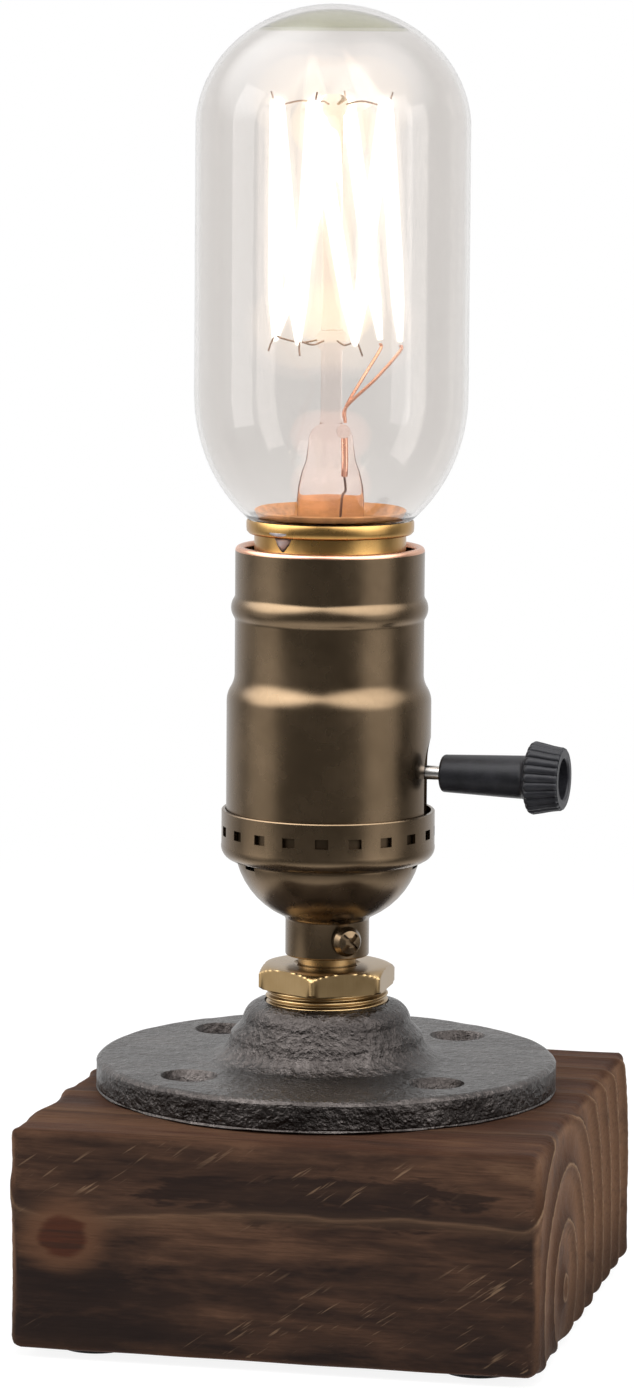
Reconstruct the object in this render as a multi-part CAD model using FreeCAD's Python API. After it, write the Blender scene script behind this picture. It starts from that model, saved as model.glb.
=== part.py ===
"""Bare bulb table lamp: wood block, cast pipe flange, brass key socket and a tubular squirrel-cage bulb.

Millimetres, +Z up. The origin is the middle of the lamp's footprint on the table, X runs along the
block's front edge and its grain, and the front of the block faces -Y. Lamp pieces are drawn about
their own upright axis with height 0 on top of the block, and are placed by on_block() at the end.
"""
import FreeCAD
import Part
import math
import os

V = FreeCAD.Vector
UP = V(0, 0, 1)
ORIGIN = V(0, 0, 0)

ARC_STEP = 45.0           # degrees turned by each facet of a rounded outline

# Fits and clearances
STATIC_FIT = 0.1          # radial gap between pieces that are screwed or pushed together
RUNNING_FIT = 0.06        # radial gap of a shaft that turns
THREAD_FIT = 0.3          # radial gap between the bulb's screw cap and its socket
SEAT_GAP = 0.05           # gap where a turned piece sits on another one

# Base block and what lies under it
BLOCK_WIDTH = 87.2
BLOCK_DEPTH = 88.2
BLOCK_HEIGHT = 36.7
BLOCK_CORNER_RADIUS = 3.0
BLOCK_TOP_RADIUS = 1.8
BLOCK_FOOT_RADIUS = 1.0
PAD_DIAMETER = 12.0
PAD_THICKNESS = 1.2
PAD_INSET = 12.0          # pad centre to the block's sides
AXIS_X = -1.1             # the lamp's hole was drilled a little off the block's middle
AXIS_Y = 1.1
RECESS_DIAMETER = 34.0
RECESS_DEPTH = 17.0
CORD_HOLE_DIAMETER = 8.0
CORD_HOLE_HEIGHT = 8.0    # hole's middle above the block's underside

# Hollow threaded rod, washer and nut that clamp the stack
ROD_DIAMETER = 9.7
ROD_BORE = 6.8
ROD_HOLE_DIAMETER = 10.6
ROD_BELOW_NUT = 2.5
ROD_IN_CAP = 4.0          # how far the rod reaches into the socket cap's neck
WASHER_DIAMETER = 24.0
WASHER_THICKNESS = 1.4
NUT_ACROSS_FLATS = 14.0
NUT_HEIGHT = 5.0
NUT_CHAMFER = 0.8

# Cast floor flange
FLANGE_DIAMETER = 76.8
FLANGE_THICKNESS = 5.3
FLANGE_EDGE_RADIUS = 1.3
FLANGE_FOOT_RADIUS = 0.6
HUB_HEIGHT = 14.5
HUB_FOOT_RADIUS = 16.0    # where the hub's cone meets the disc
HUB_TOP_RADIUS = 14.0
HUB_FILLET = 4.0
HUB_SHOULDER_RADIUS = 3.0
SCREW_HOLES = 4
SCREW_HOLE_CIRCLE = 57.0
SCREW_HOLE_DIAMETER = 5.6
COUNTERSINK_DIAMETER = 9.8
COUNTERSINK_DEPTH = 2.6
FIRST_SCREW_HOLE = 51.0   # degrees from +X

# Brass reducing bushing
BUSHING_THREAD_DIAMETER = 20.5
BUSHING_ENGAGEMENT = 9.0
BUSHING_THREAD_SHOWN = 2.1
HEX_ACROSS_FLATS = 20.5
HEX_HEIGHT = 4.1
HEX_CHAMFER = 1.2
ROD_SHOWN = 1.5           # rod left in sight between the hex and the socket

# Socket cap: neck, dome and pierced band
CAP_WALL = 0.6
NECK_DIAMETER = 13.9
NECK_HEIGHT = 6.6
DOME_DIAMETER = 30.1
DOME_BULGE = 1.15         # how far the dome's side stands out from a straight cone
DOME_HEIGHT = 9.3
GROOVE_STEP = 0.45
BAND_DIAMETER = 35.3
BAND_FLARE_HEIGHT = 2.9
BAND_HEIGHT = 5.6
WINDOWS = 20
WINDOW_WIDTH = 2.15
WINDOW_HEIGHT = 1.6
WINDOW_BELOW_RIM = 3.3
FIRST_WINDOW = -81.0
NECK_SCREW_ANGLE = -52.0
NECK_SCREW_HEAD = 5.0
NECK_SCREW_HEAD_HEIGHT = 2.0
NECK_SCREW_SHANK = 2.8
CAP_DISC_THICKNESS = 1.0
CAP_DISC_MARGIN = 1.3     # disc's edge inside the dome's outer radius

# Socket shell
SHELL_WALL = 0.5
SHELL_IN_BAND = 0.15      # gap between the shell and the cap's band
SHELL_HEIGHT = 49.2
SHELL_LOWER_HEIGHT = 24.6
SHELL_STEP_HEIGHT = 2.4
SHELL_UPPER_DIAMETER = 31.2
BEAD_HEIGHT = 39.0        # middle of the rolled bead above the shell's foot
BEAD_WIDTH = 3.4
BEAD_PROUD = 0.65
LIP_RADIUS = 0.75
KEY_HEIGHT = 12.4         # switch shaft above the shell's foot
KEY_ANGLE = -4.6
KEY_SLOT_WIDTH = 8.6
KEY_SLOT_ABOVE = 5.3      # top of the slot above the shaft

# Socket interior
LINER_WALL = 0.5
LINER_GAP = 0.15
LINER_HEIGHT = 48.5
BODY_GAP = 0.5            # between the moulded body and the paper liner
BODY_HEIGHT = 24.0
BODY_LIFT = 1.6           # body above the cap disc, on two legs
LEG_WIDTH = 2.5
BOSS_DIAMETER = 13.0
BOSS_HEIGHT = 1.0
CAVITY_LENGTH = 9.0
CAVITY_WIDTH = 10.6
ROTOR_DIAMETER = 8.8
ROTOR_LENGTH = 7.4
ROTOR_FLAT = 3.2          # contact flats, from the shaft's axis
ROTOR_FLAT_LENGTH = 4.4
TERMINAL_FLAT = 10.6      # flats for the terminal screws, from the axis
TERMINAL_FLAT_HEIGHT = 12.0
TERMINAL_HEAD = 5.6
TERMINAL_HEAD_HEIGHT = 1.9
TERMINAL_SHANK = 3.0
TERMINAL_SHANK_LENGTH = 4.2
SCREW_SHELL_WALL = 0.45
SCREW_SHELL_HEIGHT = 22.0
SCREW_SHELL_EYE = 16.0    # opening in the screw shell's floor
RIVET_SHANK = 1.2
RIVET_HEAD = 2.6
RIVET_HEAD_HEIGHT = 0.6
RIVET_CIRCLE = 21.4
RIVET_LENGTH = 4.0
CONTACT_WIDTH = 5.0
CONTACT_THICKNESS = 0.4
CONTACT_FOOT = 5.0        # outer end of the contact's foot, from the axis
CONTACT_GAP = 0.3         # the spring contact stops this far short of the bulb

# Switch shaft and knob
SHAFT_DIAMETER = 2.3
SHAFT_IN_KNOB = 9.0
KNOB_START = 19.1         # from the lamp's axis
KNOB_SLEEVE_DIAMETER = 6.2
KNOB_SLEEVE_END_DIAMETER = 7.1
KNOB_SLEEVE_LENGTH = 14.6
KNOB_HEAD_DIAMETER = 12.0
KNOB_END_DIAMETER = 10.3
KNOB_HEAD_LENGTH = 5.6
KNOB_EDGE = 0.6
KNOB_HOLE_DIAMETER = 6.8
KNOB_HOLE_DEPTH = 3.8
FLUTES = 8
FLUTE_RADIUS = 2.2
FLUTE_DEPTH = 0.3

# Bulb, heights from its contact tip
BULB_LENGTH = 110.8
BULB_DIAMETER = 45.0
DOME_RISE = 20.3
SHOULDER_DROP = 25.7
SHOULDER_ABOVE_CAP = 22.2
GLASS_CHORDS = 5          # facets of each quarter of the glass outline
SCREW_CAP_LENGTH = 25.2
SCREW_CAP_DIAMETER = 26.2
SCREW_CAP_NECK = 25.1
SCREW_CAP_WALL = 0.4
SCREW_THREAD_TOP = 20.4
SCREW_THREAD_FOOT = 7.3
BULB_ABOVE_MOUTH = 2.8    # screw cap's edge above the socket's mouth
GLASS_WALL = 0.7
GLASS_NECK_DIAMETER = 23.6
GLASS_NECK_FOOT = 15.0
GLASS_LIP_DIAMETER = 26.7
GLASS_LIP_HEIGHT = 1.6
TIP_DIAMETER = 9.5
TIP_HEIGHT = 1.5
INSULATOR_DIAMETER = 19.0
INSULATOR_TOP = 4.3
SOLDER_RADIUS = 1.7
SOLDER_ANGLE = -115.6

# Stem, leads and filament cage, heights from the bulb's contact tip
FLARE_TUBE_DIAMETER = 11.0
FLARE_TOP = 35.0
FLARE_WALL = 0.8
PINCH_ANGLE = 12.4        # the flat pinch lies across the viewer's line of sight
PINCH_WIDTH = 9.0         # at the tube, narrower above
PINCH_TOP_WIDTH = 6.2
PINCH_THICKNESS = 3.6
PINCH_TOP = 42.0
GLASS_ROD_DIAMETER = 3.6
GLASS_ROD_TOP = 95.6
BUTTON_DIAMETER = 4.8
BUTTON_HEIGHT = 2.6
CAGE_TOP = 94.6
CAGE_FOOT = 56.2
TOP_HOOK_RADIUS = 9.3
FOOT_HOOK_RADIUS = 9.7
TOP_HOOK_ANGLES = (-177.6, -97.6, -12.6, 87.4)
FOOT_HOOK_ANGLES = (-183.6, -111.6, -54.6)
LEAD_ENDS = ((9.6, 46.0), (11.3, 19.5))     # radius and angle of each lead's end
LEAD_END_HEIGHT = 55.4
LEAD_START_OFFSET = 2.2
LEAD_SPREAD = 0.6         # half the distance between the leads where they leave the pinch
WIRE_RADIUS = 0.16
WIRE_SIDES = 6
LEAD_RADIUS = 0.3
FILAMENT_RADIUS = 0.2
FILAMENT_BEND = 0.6
HOOK_GAP = 0.05

# Heights above the block's top, from the stack
HEX_BASE = HUB_HEIGHT + BUSHING_THREAD_SHOWN
HEX_TOP = HEX_BASE + HEX_HEIGHT
NECK_BASE = HEX_TOP + ROD_SHOWN
NECK_TOP = NECK_BASE + NECK_HEIGHT
SEAM = NECK_TOP + DOME_HEIGHT
BAND_FOOT = SEAM + BAND_FLARE_HEIGHT
RIM = BAND_FOOT + BAND_HEIGHT
SHELL_FOOT = BAND_FOOT + STATIC_FIT
MOUTH = SHELL_FOOT + SHELL_HEIGHT
KEY_Z = SHELL_FOOT + KEY_HEIGHT
BULB_TIP = MOUTH + BULB_ABOVE_MOUTH - SCREW_CAP_LENGTH
BODY_FOOT = SEAM + CAP_DISC_THICKNESS + BODY_LIFT
BODY_TOP = BODY_FOOT + BODY_HEIGHT
SHELL_LOWER_DIAMETER = BAND_DIAMETER - 2 * (CAP_WALL + SHELL_IN_BAND)
LINER_DIAMETER = SHELL_UPPER_DIAMETER - 2 * (SHELL_WALL + LINER_GAP)
BODY_DIAMETER = LINER_DIAMETER - 2 * (LINER_WALL + BODY_GAP)
SCREW_SHELL_BORE = SCREW_CAP_DIAMETER + 2 * THREAD_FIT
LAMP_SEAT = PAD_THICKNESS + BLOCK_HEIGHT


# ---------------------------------------------------------------- drawing helpers
def arc_points(start, through, end):
    """Points after start along the circular arc through three (radius, height) points."""
    arc = Part.Arc(V(start[0], 0, start[1]), V(through[0], 0, through[1]), V(end[0], 0, end[1]))
    swept = abs(arc.LastParameter - arc.FirstParameter)
    chords = max(2, math.ceil(swept / math.radians(ARC_STEP)))
    points = arc.discretize(Number=chords + 1)
    return [(p.x, p.z) for p in points[1:]]


def outline(start, *steps):
    """Outline points. A step of two numbers is a line, one of four is an arc through its first point."""
    points = [start]
    for step in steps:
        if len(step) == 2:
            points.append(step)
        else:
            points += arc_points(points[-1], step[:2], step[2:])
    return points


def turned(*steps):
    """A solid of revolution about Z from a closed outline of (radius, height) steps."""
    points = outline(*steps)
    corners = [V(x, 0, z) for x, z in points + [points[0]]]
    return Part.Face(Part.makePolygon(corners)).revolve(ORIGIN, UP, 360)


def cylinder(diameter, low, high, x=0.0, y=0.0):
    return Part.makeCylinder(diameter / 2, high - low, V(x, y, low))


def ring(outer, inner, low, high):
    return cylinder(outer, low, high).cut(cylinder(inner, low - 1, high + 1))


def hexagon(across_flats, low, high, angle=0.0):
    """A hexagonal prism with a corner at the given angle."""
    reach = across_flats / 2 / math.cos(math.pi / 6)
    turns = [math.radians(angle + 60 * i) for i in range(7)]
    corners = [V(reach * math.cos(t), reach * math.sin(t), low) for t in turns]
    return Part.Face(Part.makePolygon(corners)).extrude(V(0, 0, high - low))


def chamfered_hexagon(across_flats, low, high, chamfer, angle=0.0):
    """The prism with its corners turned off above, as on a machined nut."""
    reach = across_flats / 2 / math.cos(math.pi / 6)
    slope = chamfer * math.tan(math.pi / 6)
    lens = turned((0, low), (reach + 1, low), (reach + 1, high - slope - math.tan(math.pi / 6)),
                  (reach - chamfer, high), (0, high))
    return hexagon(across_flats, low, high, angle).common(lens)


def turn(shape, degrees):
    return shape.copy().rotate(ORIGIN, UP, degrees)


def along_key(shape):
    """Lays a piece drawn upright about Z along the switch shaft, pointing outwards."""
    laid = shape.copy()
    laid.rotate(ORIGIN, V(0, 1, 0), 90)
    laid.translate(V(0, 0, KEY_Z))
    laid.rotate(ORIGIN, UP, KEY_ANGLE)
    return laid


def on_bulb(shape):
    moved = shape.copy()
    moved.translate(V(0, 0, BULB_TIP))
    return moved


def on_block(shape):
    moved = shape.copy()
    moved.translate(V(AXIS_X, AXIS_Y, LAMP_SEAT))
    return moved


def polar(radius, degrees, height):
    angle = math.radians(degrees)
    return V(radius * math.cos(angle), radius * math.sin(angle), height)


def wire_rod(points, radius, bend):
    """A round wire of straight runs, each corner eased by two mitres."""
    eased = [points[0]]
    for before, corner, after in zip(points, points[1:], points[2:]):
        eased.append(corner + (before - corner).normalize() * bend)
        eased.append(corner + (after - corner).normalize() * bend)
    eased.append(points[-1])
    runs = [(b - a).normalize() for a, b in zip(eased, eased[1:])]
    side = runs[0].cross(UP if abs(runs[0].z) < 0.9 else V(1, 0, 0)).normalize()
    sections = []
    for i, point in enumerate(eased):
        into, out = runs[max(i - 1, 0)], runs[min(i, len(runs) - 1)]
        other = into.cross(side)
        mitre = (into + out).normalize()
        ring_points = []
        for k in range(WIRE_SIDES + 1):
            angle = 2 * math.pi * k / WIRE_SIDES
            spoke = side * (radius * math.cos(angle)) + other * (radius * math.sin(angle))
            ring_points.append(point + spoke - into * (spoke.dot(mitre) / into.dot(mitre)))
        sections.append(Part.makePolygon(ring_points))
        side = FreeCAD.Rotation(into, out).multVec(side)
    return Part.makeLoft(sections, True, True)


# ---------------------------------------------------------------- base
def wood_block():
    block = Part.makeBox(BLOCK_WIDTH, BLOCK_DEPTH, BLOCK_HEIGHT,
                         V(-BLOCK_WIDTH / 2, -BLOCK_DEPTH / 2, PAD_THICKNESS))
    upright = [e for e in block.Edges if abs(e.BoundBox.ZLength - BLOCK_HEIGHT) < 1e-6]
    block = block.makeFillet(BLOCK_CORNER_RADIUS, upright)
    top = [e for e in block.Edges if e.BoundBox.ZMin > LAMP_SEAT - 1e-6]
    block = block.makeFillet(BLOCK_TOP_RADIUS, top)
    foot = [e for e in block.Edges if e.BoundBox.ZMax < PAD_THICKNESS + 1e-6]
    block = block.makeFillet(BLOCK_FOOT_RADIUS, foot)
    block = block.cut(cylinder(ROD_HOLE_DIAMETER, 0, LAMP_SEAT + 1, AXIS_X, AXIS_Y))
    block = block.cut(cylinder(RECESS_DIAMETER, 0, PAD_THICKNESS + RECESS_DEPTH, AXIS_X, AXIS_Y))
    cord_hole = Part.makeCylinder(CORD_HOLE_DIAMETER / 2, BLOCK_DEPTH,
                                  V(AXIS_X, AXIS_Y, PAD_THICKNESS + CORD_HOLE_HEIGHT), V(0, 1, 0))
    return block.cut(cord_hole)


def felt_pads():
    across = BLOCK_WIDTH / 2 - PAD_INSET
    deep = BLOCK_DEPTH / 2 - PAD_INSET
    pads = [cylinder(PAD_DIAMETER, 0, PAD_THICKNESS, x, y)
            for x in (-across, across) for y in (-deep, deep)]
    return Part.makeCompound(pads)


def recess_ceiling():
    """Height of the recess's ceiling under the block's top."""
    return RECESS_DEPTH - BLOCK_HEIGHT


def clamp_washer():
    top = recess_ceiling()
    return ring(WASHER_DIAMETER, ROD_DIAMETER + 2 * STATIC_FIT, top - WASHER_THICKNESS, top)


def clamp_nut():
    top = recess_ceiling() - WASHER_THICKNESS
    nut = chamfered_hexagon(NUT_ACROSS_FLATS, 0, NUT_HEIGHT, NUT_CHAMFER)
    nut = nut.cut(cylinder(ROD_DIAMETER + 2 * STATIC_FIT, -1, NUT_HEIGHT + 1))
    nut.rotate(ORIGIN, V(1, 0, 0), 180)
    nut.translate(V(0, 0, top))
    return nut


def threaded_rod():
    low = recess_ceiling() - WASHER_THICKNESS - NUT_HEIGHT - ROD_BELOW_NUT
    return ring(ROD_DIAMETER, ROD_BORE, low, NECK_BASE + ROD_IN_CAP)


def pipe_flange():
    """Cast disc with a coned hub, its fillet and shoulder, and four countersunk screw holes."""
    radius = FLANGE_DIAMETER / 2
    edge = FLANGE_EDGE_RADIUS
    bore = BUSHING_THREAD_DIAMETER / 2 + STATIC_FIT
    shoulder = HUB_SHOULDER_RADIUS
    slant = math.sqrt(0.5)
    foot = HUB_FOOT_RADIUS + HUB_FILLET
    flange = turned(
        (bore, 0), (radius - FLANGE_FOOT_RADIUS, 0),
        (radius - FLANGE_FOOT_RADIUS * (1 - slant), FLANGE_FOOT_RADIUS * (1 - slant),
         radius, FLANGE_FOOT_RADIUS),
        (radius, FLANGE_THICKNESS - edge),
        (radius - edge * (1 - slant), FLANGE_THICKNESS - edge * (1 - slant),
         radius - edge, FLANGE_THICKNESS),
        (foot, FLANGE_THICKNESS),
        (HUB_FOOT_RADIUS + HUB_FILLET * (1 - slant), FLANGE_THICKNESS + HUB_FILLET * (1 - slant),
         HUB_FOOT_RADIUS - 0.1, FLANGE_THICKNESS + HUB_FILLET),
        (HUB_TOP_RADIUS, HUB_HEIGHT - shoulder),
        (HUB_TOP_RADIUS - shoulder * (1 - slant), HUB_HEIGHT - shoulder * (1 - slant),
         HUB_TOP_RADIUS - shoulder, HUB_HEIGHT),
        (bore, HUB_HEIGHT))
    hole = cylinder(SCREW_HOLE_DIAMETER, -1, FLANGE_THICKNESS + 1)
    sink = Part.makeCone(SCREW_HOLE_DIAMETER / 2, COUNTERSINK_DIAMETER / 2, COUNTERSINK_DEPTH,
                         V(0, 0, FLANGE_THICKNESS - COUNTERSINK_DEPTH))
    opening = cylinder(COUNTERSINK_DIAMETER, FLANGE_THICKNESS, FLANGE_THICKNESS + 1)
    drill = hole.fuse([sink, opening])
    drill.translate(V(SCREW_HOLE_CIRCLE / 2, 0, 0))
    for i in range(SCREW_HOLES):
        flange = flange.cut(turn(drill, FIRST_SCREW_HOLE + 360 * i / SCREW_HOLES))
    return flange


def hex_bushing():
    thread = cylinder(BUSHING_THREAD_DIAMETER, HUB_HEIGHT - BUSHING_ENGAGEMENT, HEX_BASE + 0.5)
    head = chamfered_hexagon(HEX_ACROSS_FLATS, HEX_BASE, HEX_TOP, HEX_CHAMFER, -90)
    bore = cylinder(ROD_DIAMETER + 2 * STATIC_FIT, -1, HEX_TOP + 1)
    return thread.fuse(head).cut(bore)


# ---------------------------------------------------------------- socket
def cap_outline(inset):
    """The cap's profile from the dome's foot to the rim, moved in by a wall's thickness."""
    neck = NECK_DIAMETER / 2
    dome = DOME_DIAMETER / 2 - inset
    band = BAND_DIAMETER / 2 - inset
    flare = dome + GROOVE_STEP
    dome_middle = (neck + dome) / 2 + DOME_BULGE
    rise = 0.5 * inset
    return outline((neck - inset, NECK_TOP + 1.5 * inset),
                   (dome_middle, (NECK_TOP + SEAM) / 2 - DOME_BULGE + rise, dome, SEAM - GROOVE_STEP + rise),
                   (flare, SEAM + rise),
                   (flare + 0.82 * (band - flare), SEAM + 0.36 * BAND_FLARE_HEIGHT + rise, band, BAND_FOOT),
                   (band, RIM))


def socket_cap():
    """Neck, dome and pierced band in one spun piece, with the set screw's hole."""
    neck = NECK_DIAMETER / 2
    bore = ROD_DIAMETER / 2 + STATIC_FIT
    inner = cap_outline(CAP_WALL)[::-1]
    cap = turned(*cap_outline(0), *inner, (bore, inner[-1][1]), (bore, NECK_BASE), (neck, NECK_BASE))
    window = Part.makeBox(3 * CAP_WALL, WINDOW_WIDTH, WINDOW_HEIGHT,
                          V(BAND_DIAMETER / 2 - 2 * CAP_WALL, -WINDOW_WIDTH / 2,
                            RIM - WINDOW_BELOW_RIM - WINDOW_HEIGHT / 2))
    windows = [turn(window, FIRST_WINDOW + 360 * i / WINDOWS) for i in range(WINDOWS)]
    screw_hole = Part.makeCylinder(NECK_SCREW_SHANK / 2 + STATIC_FIT, neck,
                                   V(bore - 1, 0, neck_screw_height()), V(1, 0, 0))
    return cap.cut(windows + [turn(screw_hole, NECK_SCREW_ANGLE)])


def neck_screw_height():
    return NECK_BASE + NECK_HEIGHT / 2


def neck_screw():
    """Round-headed cross-slot set screw through the neck's wall."""
    neck = NECK_DIAMETER / 2
    start = ROD_DIAMETER / 2 + SEAT_GAP
    head = NECK_SCREW_HEAD / 2
    seat = neck - start
    top = seat + NECK_SCREW_HEAD_HEIGHT
    screw = turned((0, 0), (NECK_SCREW_SHANK / 2, 0), (NECK_SCREW_SHANK / 2, seat), (head, seat),
                   (head, seat + 0.8), (0.8 * head, top - 0.35, 0.35 * head, top), (0, top))
    slot = Part.makeBox(0.7 * NECK_SCREW_HEAD, 0.7, 1.4,
                        V(-0.35 * NECK_SCREW_HEAD, -0.35, top - 0.9))
    screw = screw.cut([turn(slot, 45), turn(slot, 135)])
    screw.rotate(ORIGIN, V(0, 1, 0), 90)
    screw.translate(V(start, 0, neck_screw_height()))
    return turn(screw, NECK_SCREW_ANGLE)


def cap_disc():
    """Fibre disc that closes the switch off from the cap."""
    return ring(DOME_DIAMETER - 2 * CAP_DISC_MARGIN, ROD_BORE, SEAM, SEAM + CAP_DISC_THICKNESS)


def shell_outline(inset):
    """The shell's profile from foot to rolled lip, moved in by a wall's thickness."""
    low = SHELL_LOWER_DIAMETER / 2 - inset
    high = SHELL_UPPER_DIAMETER / 2 - inset
    step = SHELL_FOOT + SHELL_LOWER_HEIGHT
    step_top = step + SHELL_STEP_HEIGHT
    half_step = (low - high) / 2
    bead = SHELL_FOOT + BEAD_HEIGHT
    lip = LIP_RADIUS - inset
    lip_x = SHELL_UPPER_DIAMETER / 2 - LIP_RADIUS
    lip_z = MOUTH - LIP_RADIUS
    return outline((low, SHELL_FOOT), (low, step),
                   (low - 0.3 * half_step, step + 0.3 * SHELL_STEP_HEIGHT,
                    low - half_step, step + 0.5 * SHELL_STEP_HEIGHT),
                   (high + 0.3 * half_step, step_top - 0.3 * SHELL_STEP_HEIGHT, high, step_top),
                   (high, bead - BEAD_WIDTH / 2),
                   (high + BEAD_PROUD, bead, high, bead + BEAD_WIDTH / 2),
                   (high, lip_z), (lip_x, lip_z + lip, lip_x - lip, lip_z))


def socket_shell():
    """Spun shell: stepped, beaded, with a lip rolled inwards and a round-topped slot for the key."""
    shell = turned(*shell_outline(0), *shell_outline(SHELL_WALL)[::-1])
    return shell.cut(key_slot(KEY_SLOT_WIDTH, KEY_SLOT_ABOVE, SHELL_LOWER_DIAMETER / 2 + 2))


def key_slot(width, above, reach):
    """A slot open at the foot with a round top, standing on the key's side."""
    top = KEY_Z + above - width / 2
    post = Part.makeBox(reach, width, top - SHELL_FOOT + 1, V(0, -width / 2, SHELL_FOOT - 1))
    arch = Part.makeCylinder(width / 2, reach, V(0, 0, top), V(1, 0, 0))
    return turn(post.fuse(arch), KEY_ANGLE)


def shell_liner():
    foot = BODY_FOOT - BODY_LIFT
    liner = ring(LINER_DIAMETER, LINER_DIAMETER - 2 * LINER_WALL, foot, foot + LINER_HEIGHT)
    return liner.cut(key_slot(SHAFT_DIAMETER + 3, SHAFT_DIAMETER / 2 + 1.5, LINER_DIAMETER))


def switch_body():
    """Moulded body: boss for the centre contact, pocket for the rotor, shaft bore and terminal flats."""
    body = cylinder(BODY_DIAMETER, BODY_FOOT, BODY_TOP)
    body = body.fuse(cylinder(BOSS_DIAMETER, BODY_TOP, BODY_TOP + BOSS_HEIGHT))
    legs = ring(BODY_DIAMETER, BODY_DIAMETER - 2 * LEG_WIDTH, BODY_FOOT - BODY_LIFT, BODY_FOOT)
    gate = Part.makeBox(BODY_DIAMETER + 2, BODY_DIAMETER / 2, BODY_LIFT,
                        V(-BODY_DIAMETER / 2 - 1, -BODY_DIAMETER / 4, BODY_FOOT - BODY_LIFT))
    body = body.fuse(legs.cut(gate))
    pocket = Part.makeBox(CAVITY_LENGTH, CAVITY_WIDTH, KEY_Z + CAVITY_WIDTH / 2 - BODY_FOOT + 1,
                          V(-CAVITY_LENGTH / 2, -CAVITY_WIDTH / 2, BODY_FOOT - 1))
    pocket = turn(pocket, KEY_ANGLE)
    bore = along_key(cylinder(SHAFT_DIAMETER + 2 * RUNNING_FIT, 0, BODY_DIAMETER))
    flats = []
    for side in (90, -90):
        flat = Part.makeBox(BODY_DIAMETER, BODY_DIAMETER, TERMINAL_FLAT_HEIGHT,
                            V(TERMINAL_FLAT, -BODY_DIAMETER / 2, BODY_FOOT))
        hole = Part.makeCylinder(TERMINAL_SHANK / 2 + STATIC_FIT, TERMINAL_SHANK_LENGTH + 1,
                                 V(TERMINAL_FLAT - TERMINAL_SHANK_LENGTH - 0.3, 0, terminal_height()),
                                 V(1, 0, 0))
        flats += [turn(flat, KEY_ANGLE + side), turn(hole, KEY_ANGLE + side)]
    rivet_holes = [turn(cylinder(RIVET_SHANK + 2 * STATIC_FIT, BODY_TOP - RIVET_LENGTH - 0.2, BODY_TOP + 1,
                                 RIVET_CIRCLE / 2, 0), a) for a in rivet_angles()]
    return body.cut([pocket, bore] + flats + rivet_holes)


def terminal_height():
    return BODY_FOOT + TERMINAL_FLAT_HEIGHT / 2


def terminal_screws():
    """A binding screw on each side of the body."""
    head = TERMINAL_HEAD / 2
    screws = []
    for side in (90, -90):
        screw = turned((0, -TERMINAL_SHANK_LENGTH), (TERMINAL_SHANK / 2, -TERMINAL_SHANK_LENGTH),
                       (TERMINAL_SHANK / 2, 0), (head, 0), (head, 0.6 * TERMINAL_HEAD_HEIGHT),
                       (0.8 * head, 0.9 * TERMINAL_HEAD_HEIGHT, 0.4 * head, TERMINAL_HEAD_HEIGHT),
                       (0, TERMINAL_HEAD_HEIGHT))
        slot = Part.makeBox(TERMINAL_HEAD + 1, 0.8, 1, V(-head - 0.5, -0.4, TERMINAL_HEAD_HEIGHT - 0.8))
        screw = screw.cut(slot)
        screw.rotate(ORIGIN, V(0, 1, 0), 90)
        screw.translate(V(TERMINAL_FLAT + SEAT_GAP, 0, terminal_height()))
        screws.append(turn(screw, KEY_ANGLE + side))
    return Part.makeCompound(screws)


def rivet_angles():
    return (KEY_ANGLE + 45, KEY_ANGLE + 225)


def screw_shell():
    """Brass shell that takes the bulb's screw cap, with a riveted floor."""
    bore = SCREW_SHELL_BORE / 2
    wall = bore + SCREW_SHELL_WALL
    floor = BODY_TOP
    eye = SCREW_SHELL_EYE / 2
    shell = turned((eye, floor), (wall, floor), (wall, floor + SCREW_SHELL_HEIGHT),
                   (bore, floor + SCREW_SHELL_HEIGHT), (bore, floor + SCREW_SHELL_WALL),
                   (eye, floor + SCREW_SHELL_WALL))
    holes = [turn(cylinder(RIVET_SHANK + 2 * STATIC_FIT, floor - 1, floor + 2, RIVET_CIRCLE / 2, 0), a)
             for a in rivet_angles()]
    return shell.cut(holes)


def shell_rivets():
    low = BODY_TOP - RIVET_LENGTH
    seat = BODY_TOP + SCREW_SHELL_WALL
    x = RIVET_CIRCLE / 2
    rivet = cylinder(RIVET_SHANK, low, seat + 0.1, x, 0)
    rivet = rivet.fuse(cylinder(RIVET_HEAD, seat, seat + RIVET_HEAD_HEIGHT, x, 0))
    return Part.makeCompound([turn(rivet, a) for a in rivet_angles()])


def centre_contact():
    """Brass spring strip bent up from the boss to just under the bulb's tip."""
    low = BODY_TOP + BOSS_HEIGHT
    high = BULB_TIP - CONTACT_GAP
    t = CONTACT_THICKNESS
    end = CONTACT_FOOT
    outline = Part.makePolygon([V(-end, 0, low), V(-1.6, 0, low), V(2.0, 0, high - t), V(end - 0.6, 0, high - t - 0.5),
                                V(end - 0.6, 0, high - 0.5), V(2.0, 0, high), V(1.0, 0, high),
                                V(-1.8, 0, low + t), V(-end, 0, low + t), V(-end, 0, low)])
    strip = Part.Face(outline).extrude(V(0, CONTACT_WIDTH, 0))
    strip.translate(V(0, -CONTACT_WIDTH / 2, 0))
    return strip


# ---------------------------------------------------------------- switch key, turning about the shaft
def switch_shaft():
    end = KNOB_START + SHAFT_IN_KNOB
    return along_key(cylinder(SHAFT_DIAMETER, -ROTOR_LENGTH / 2, end))


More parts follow.
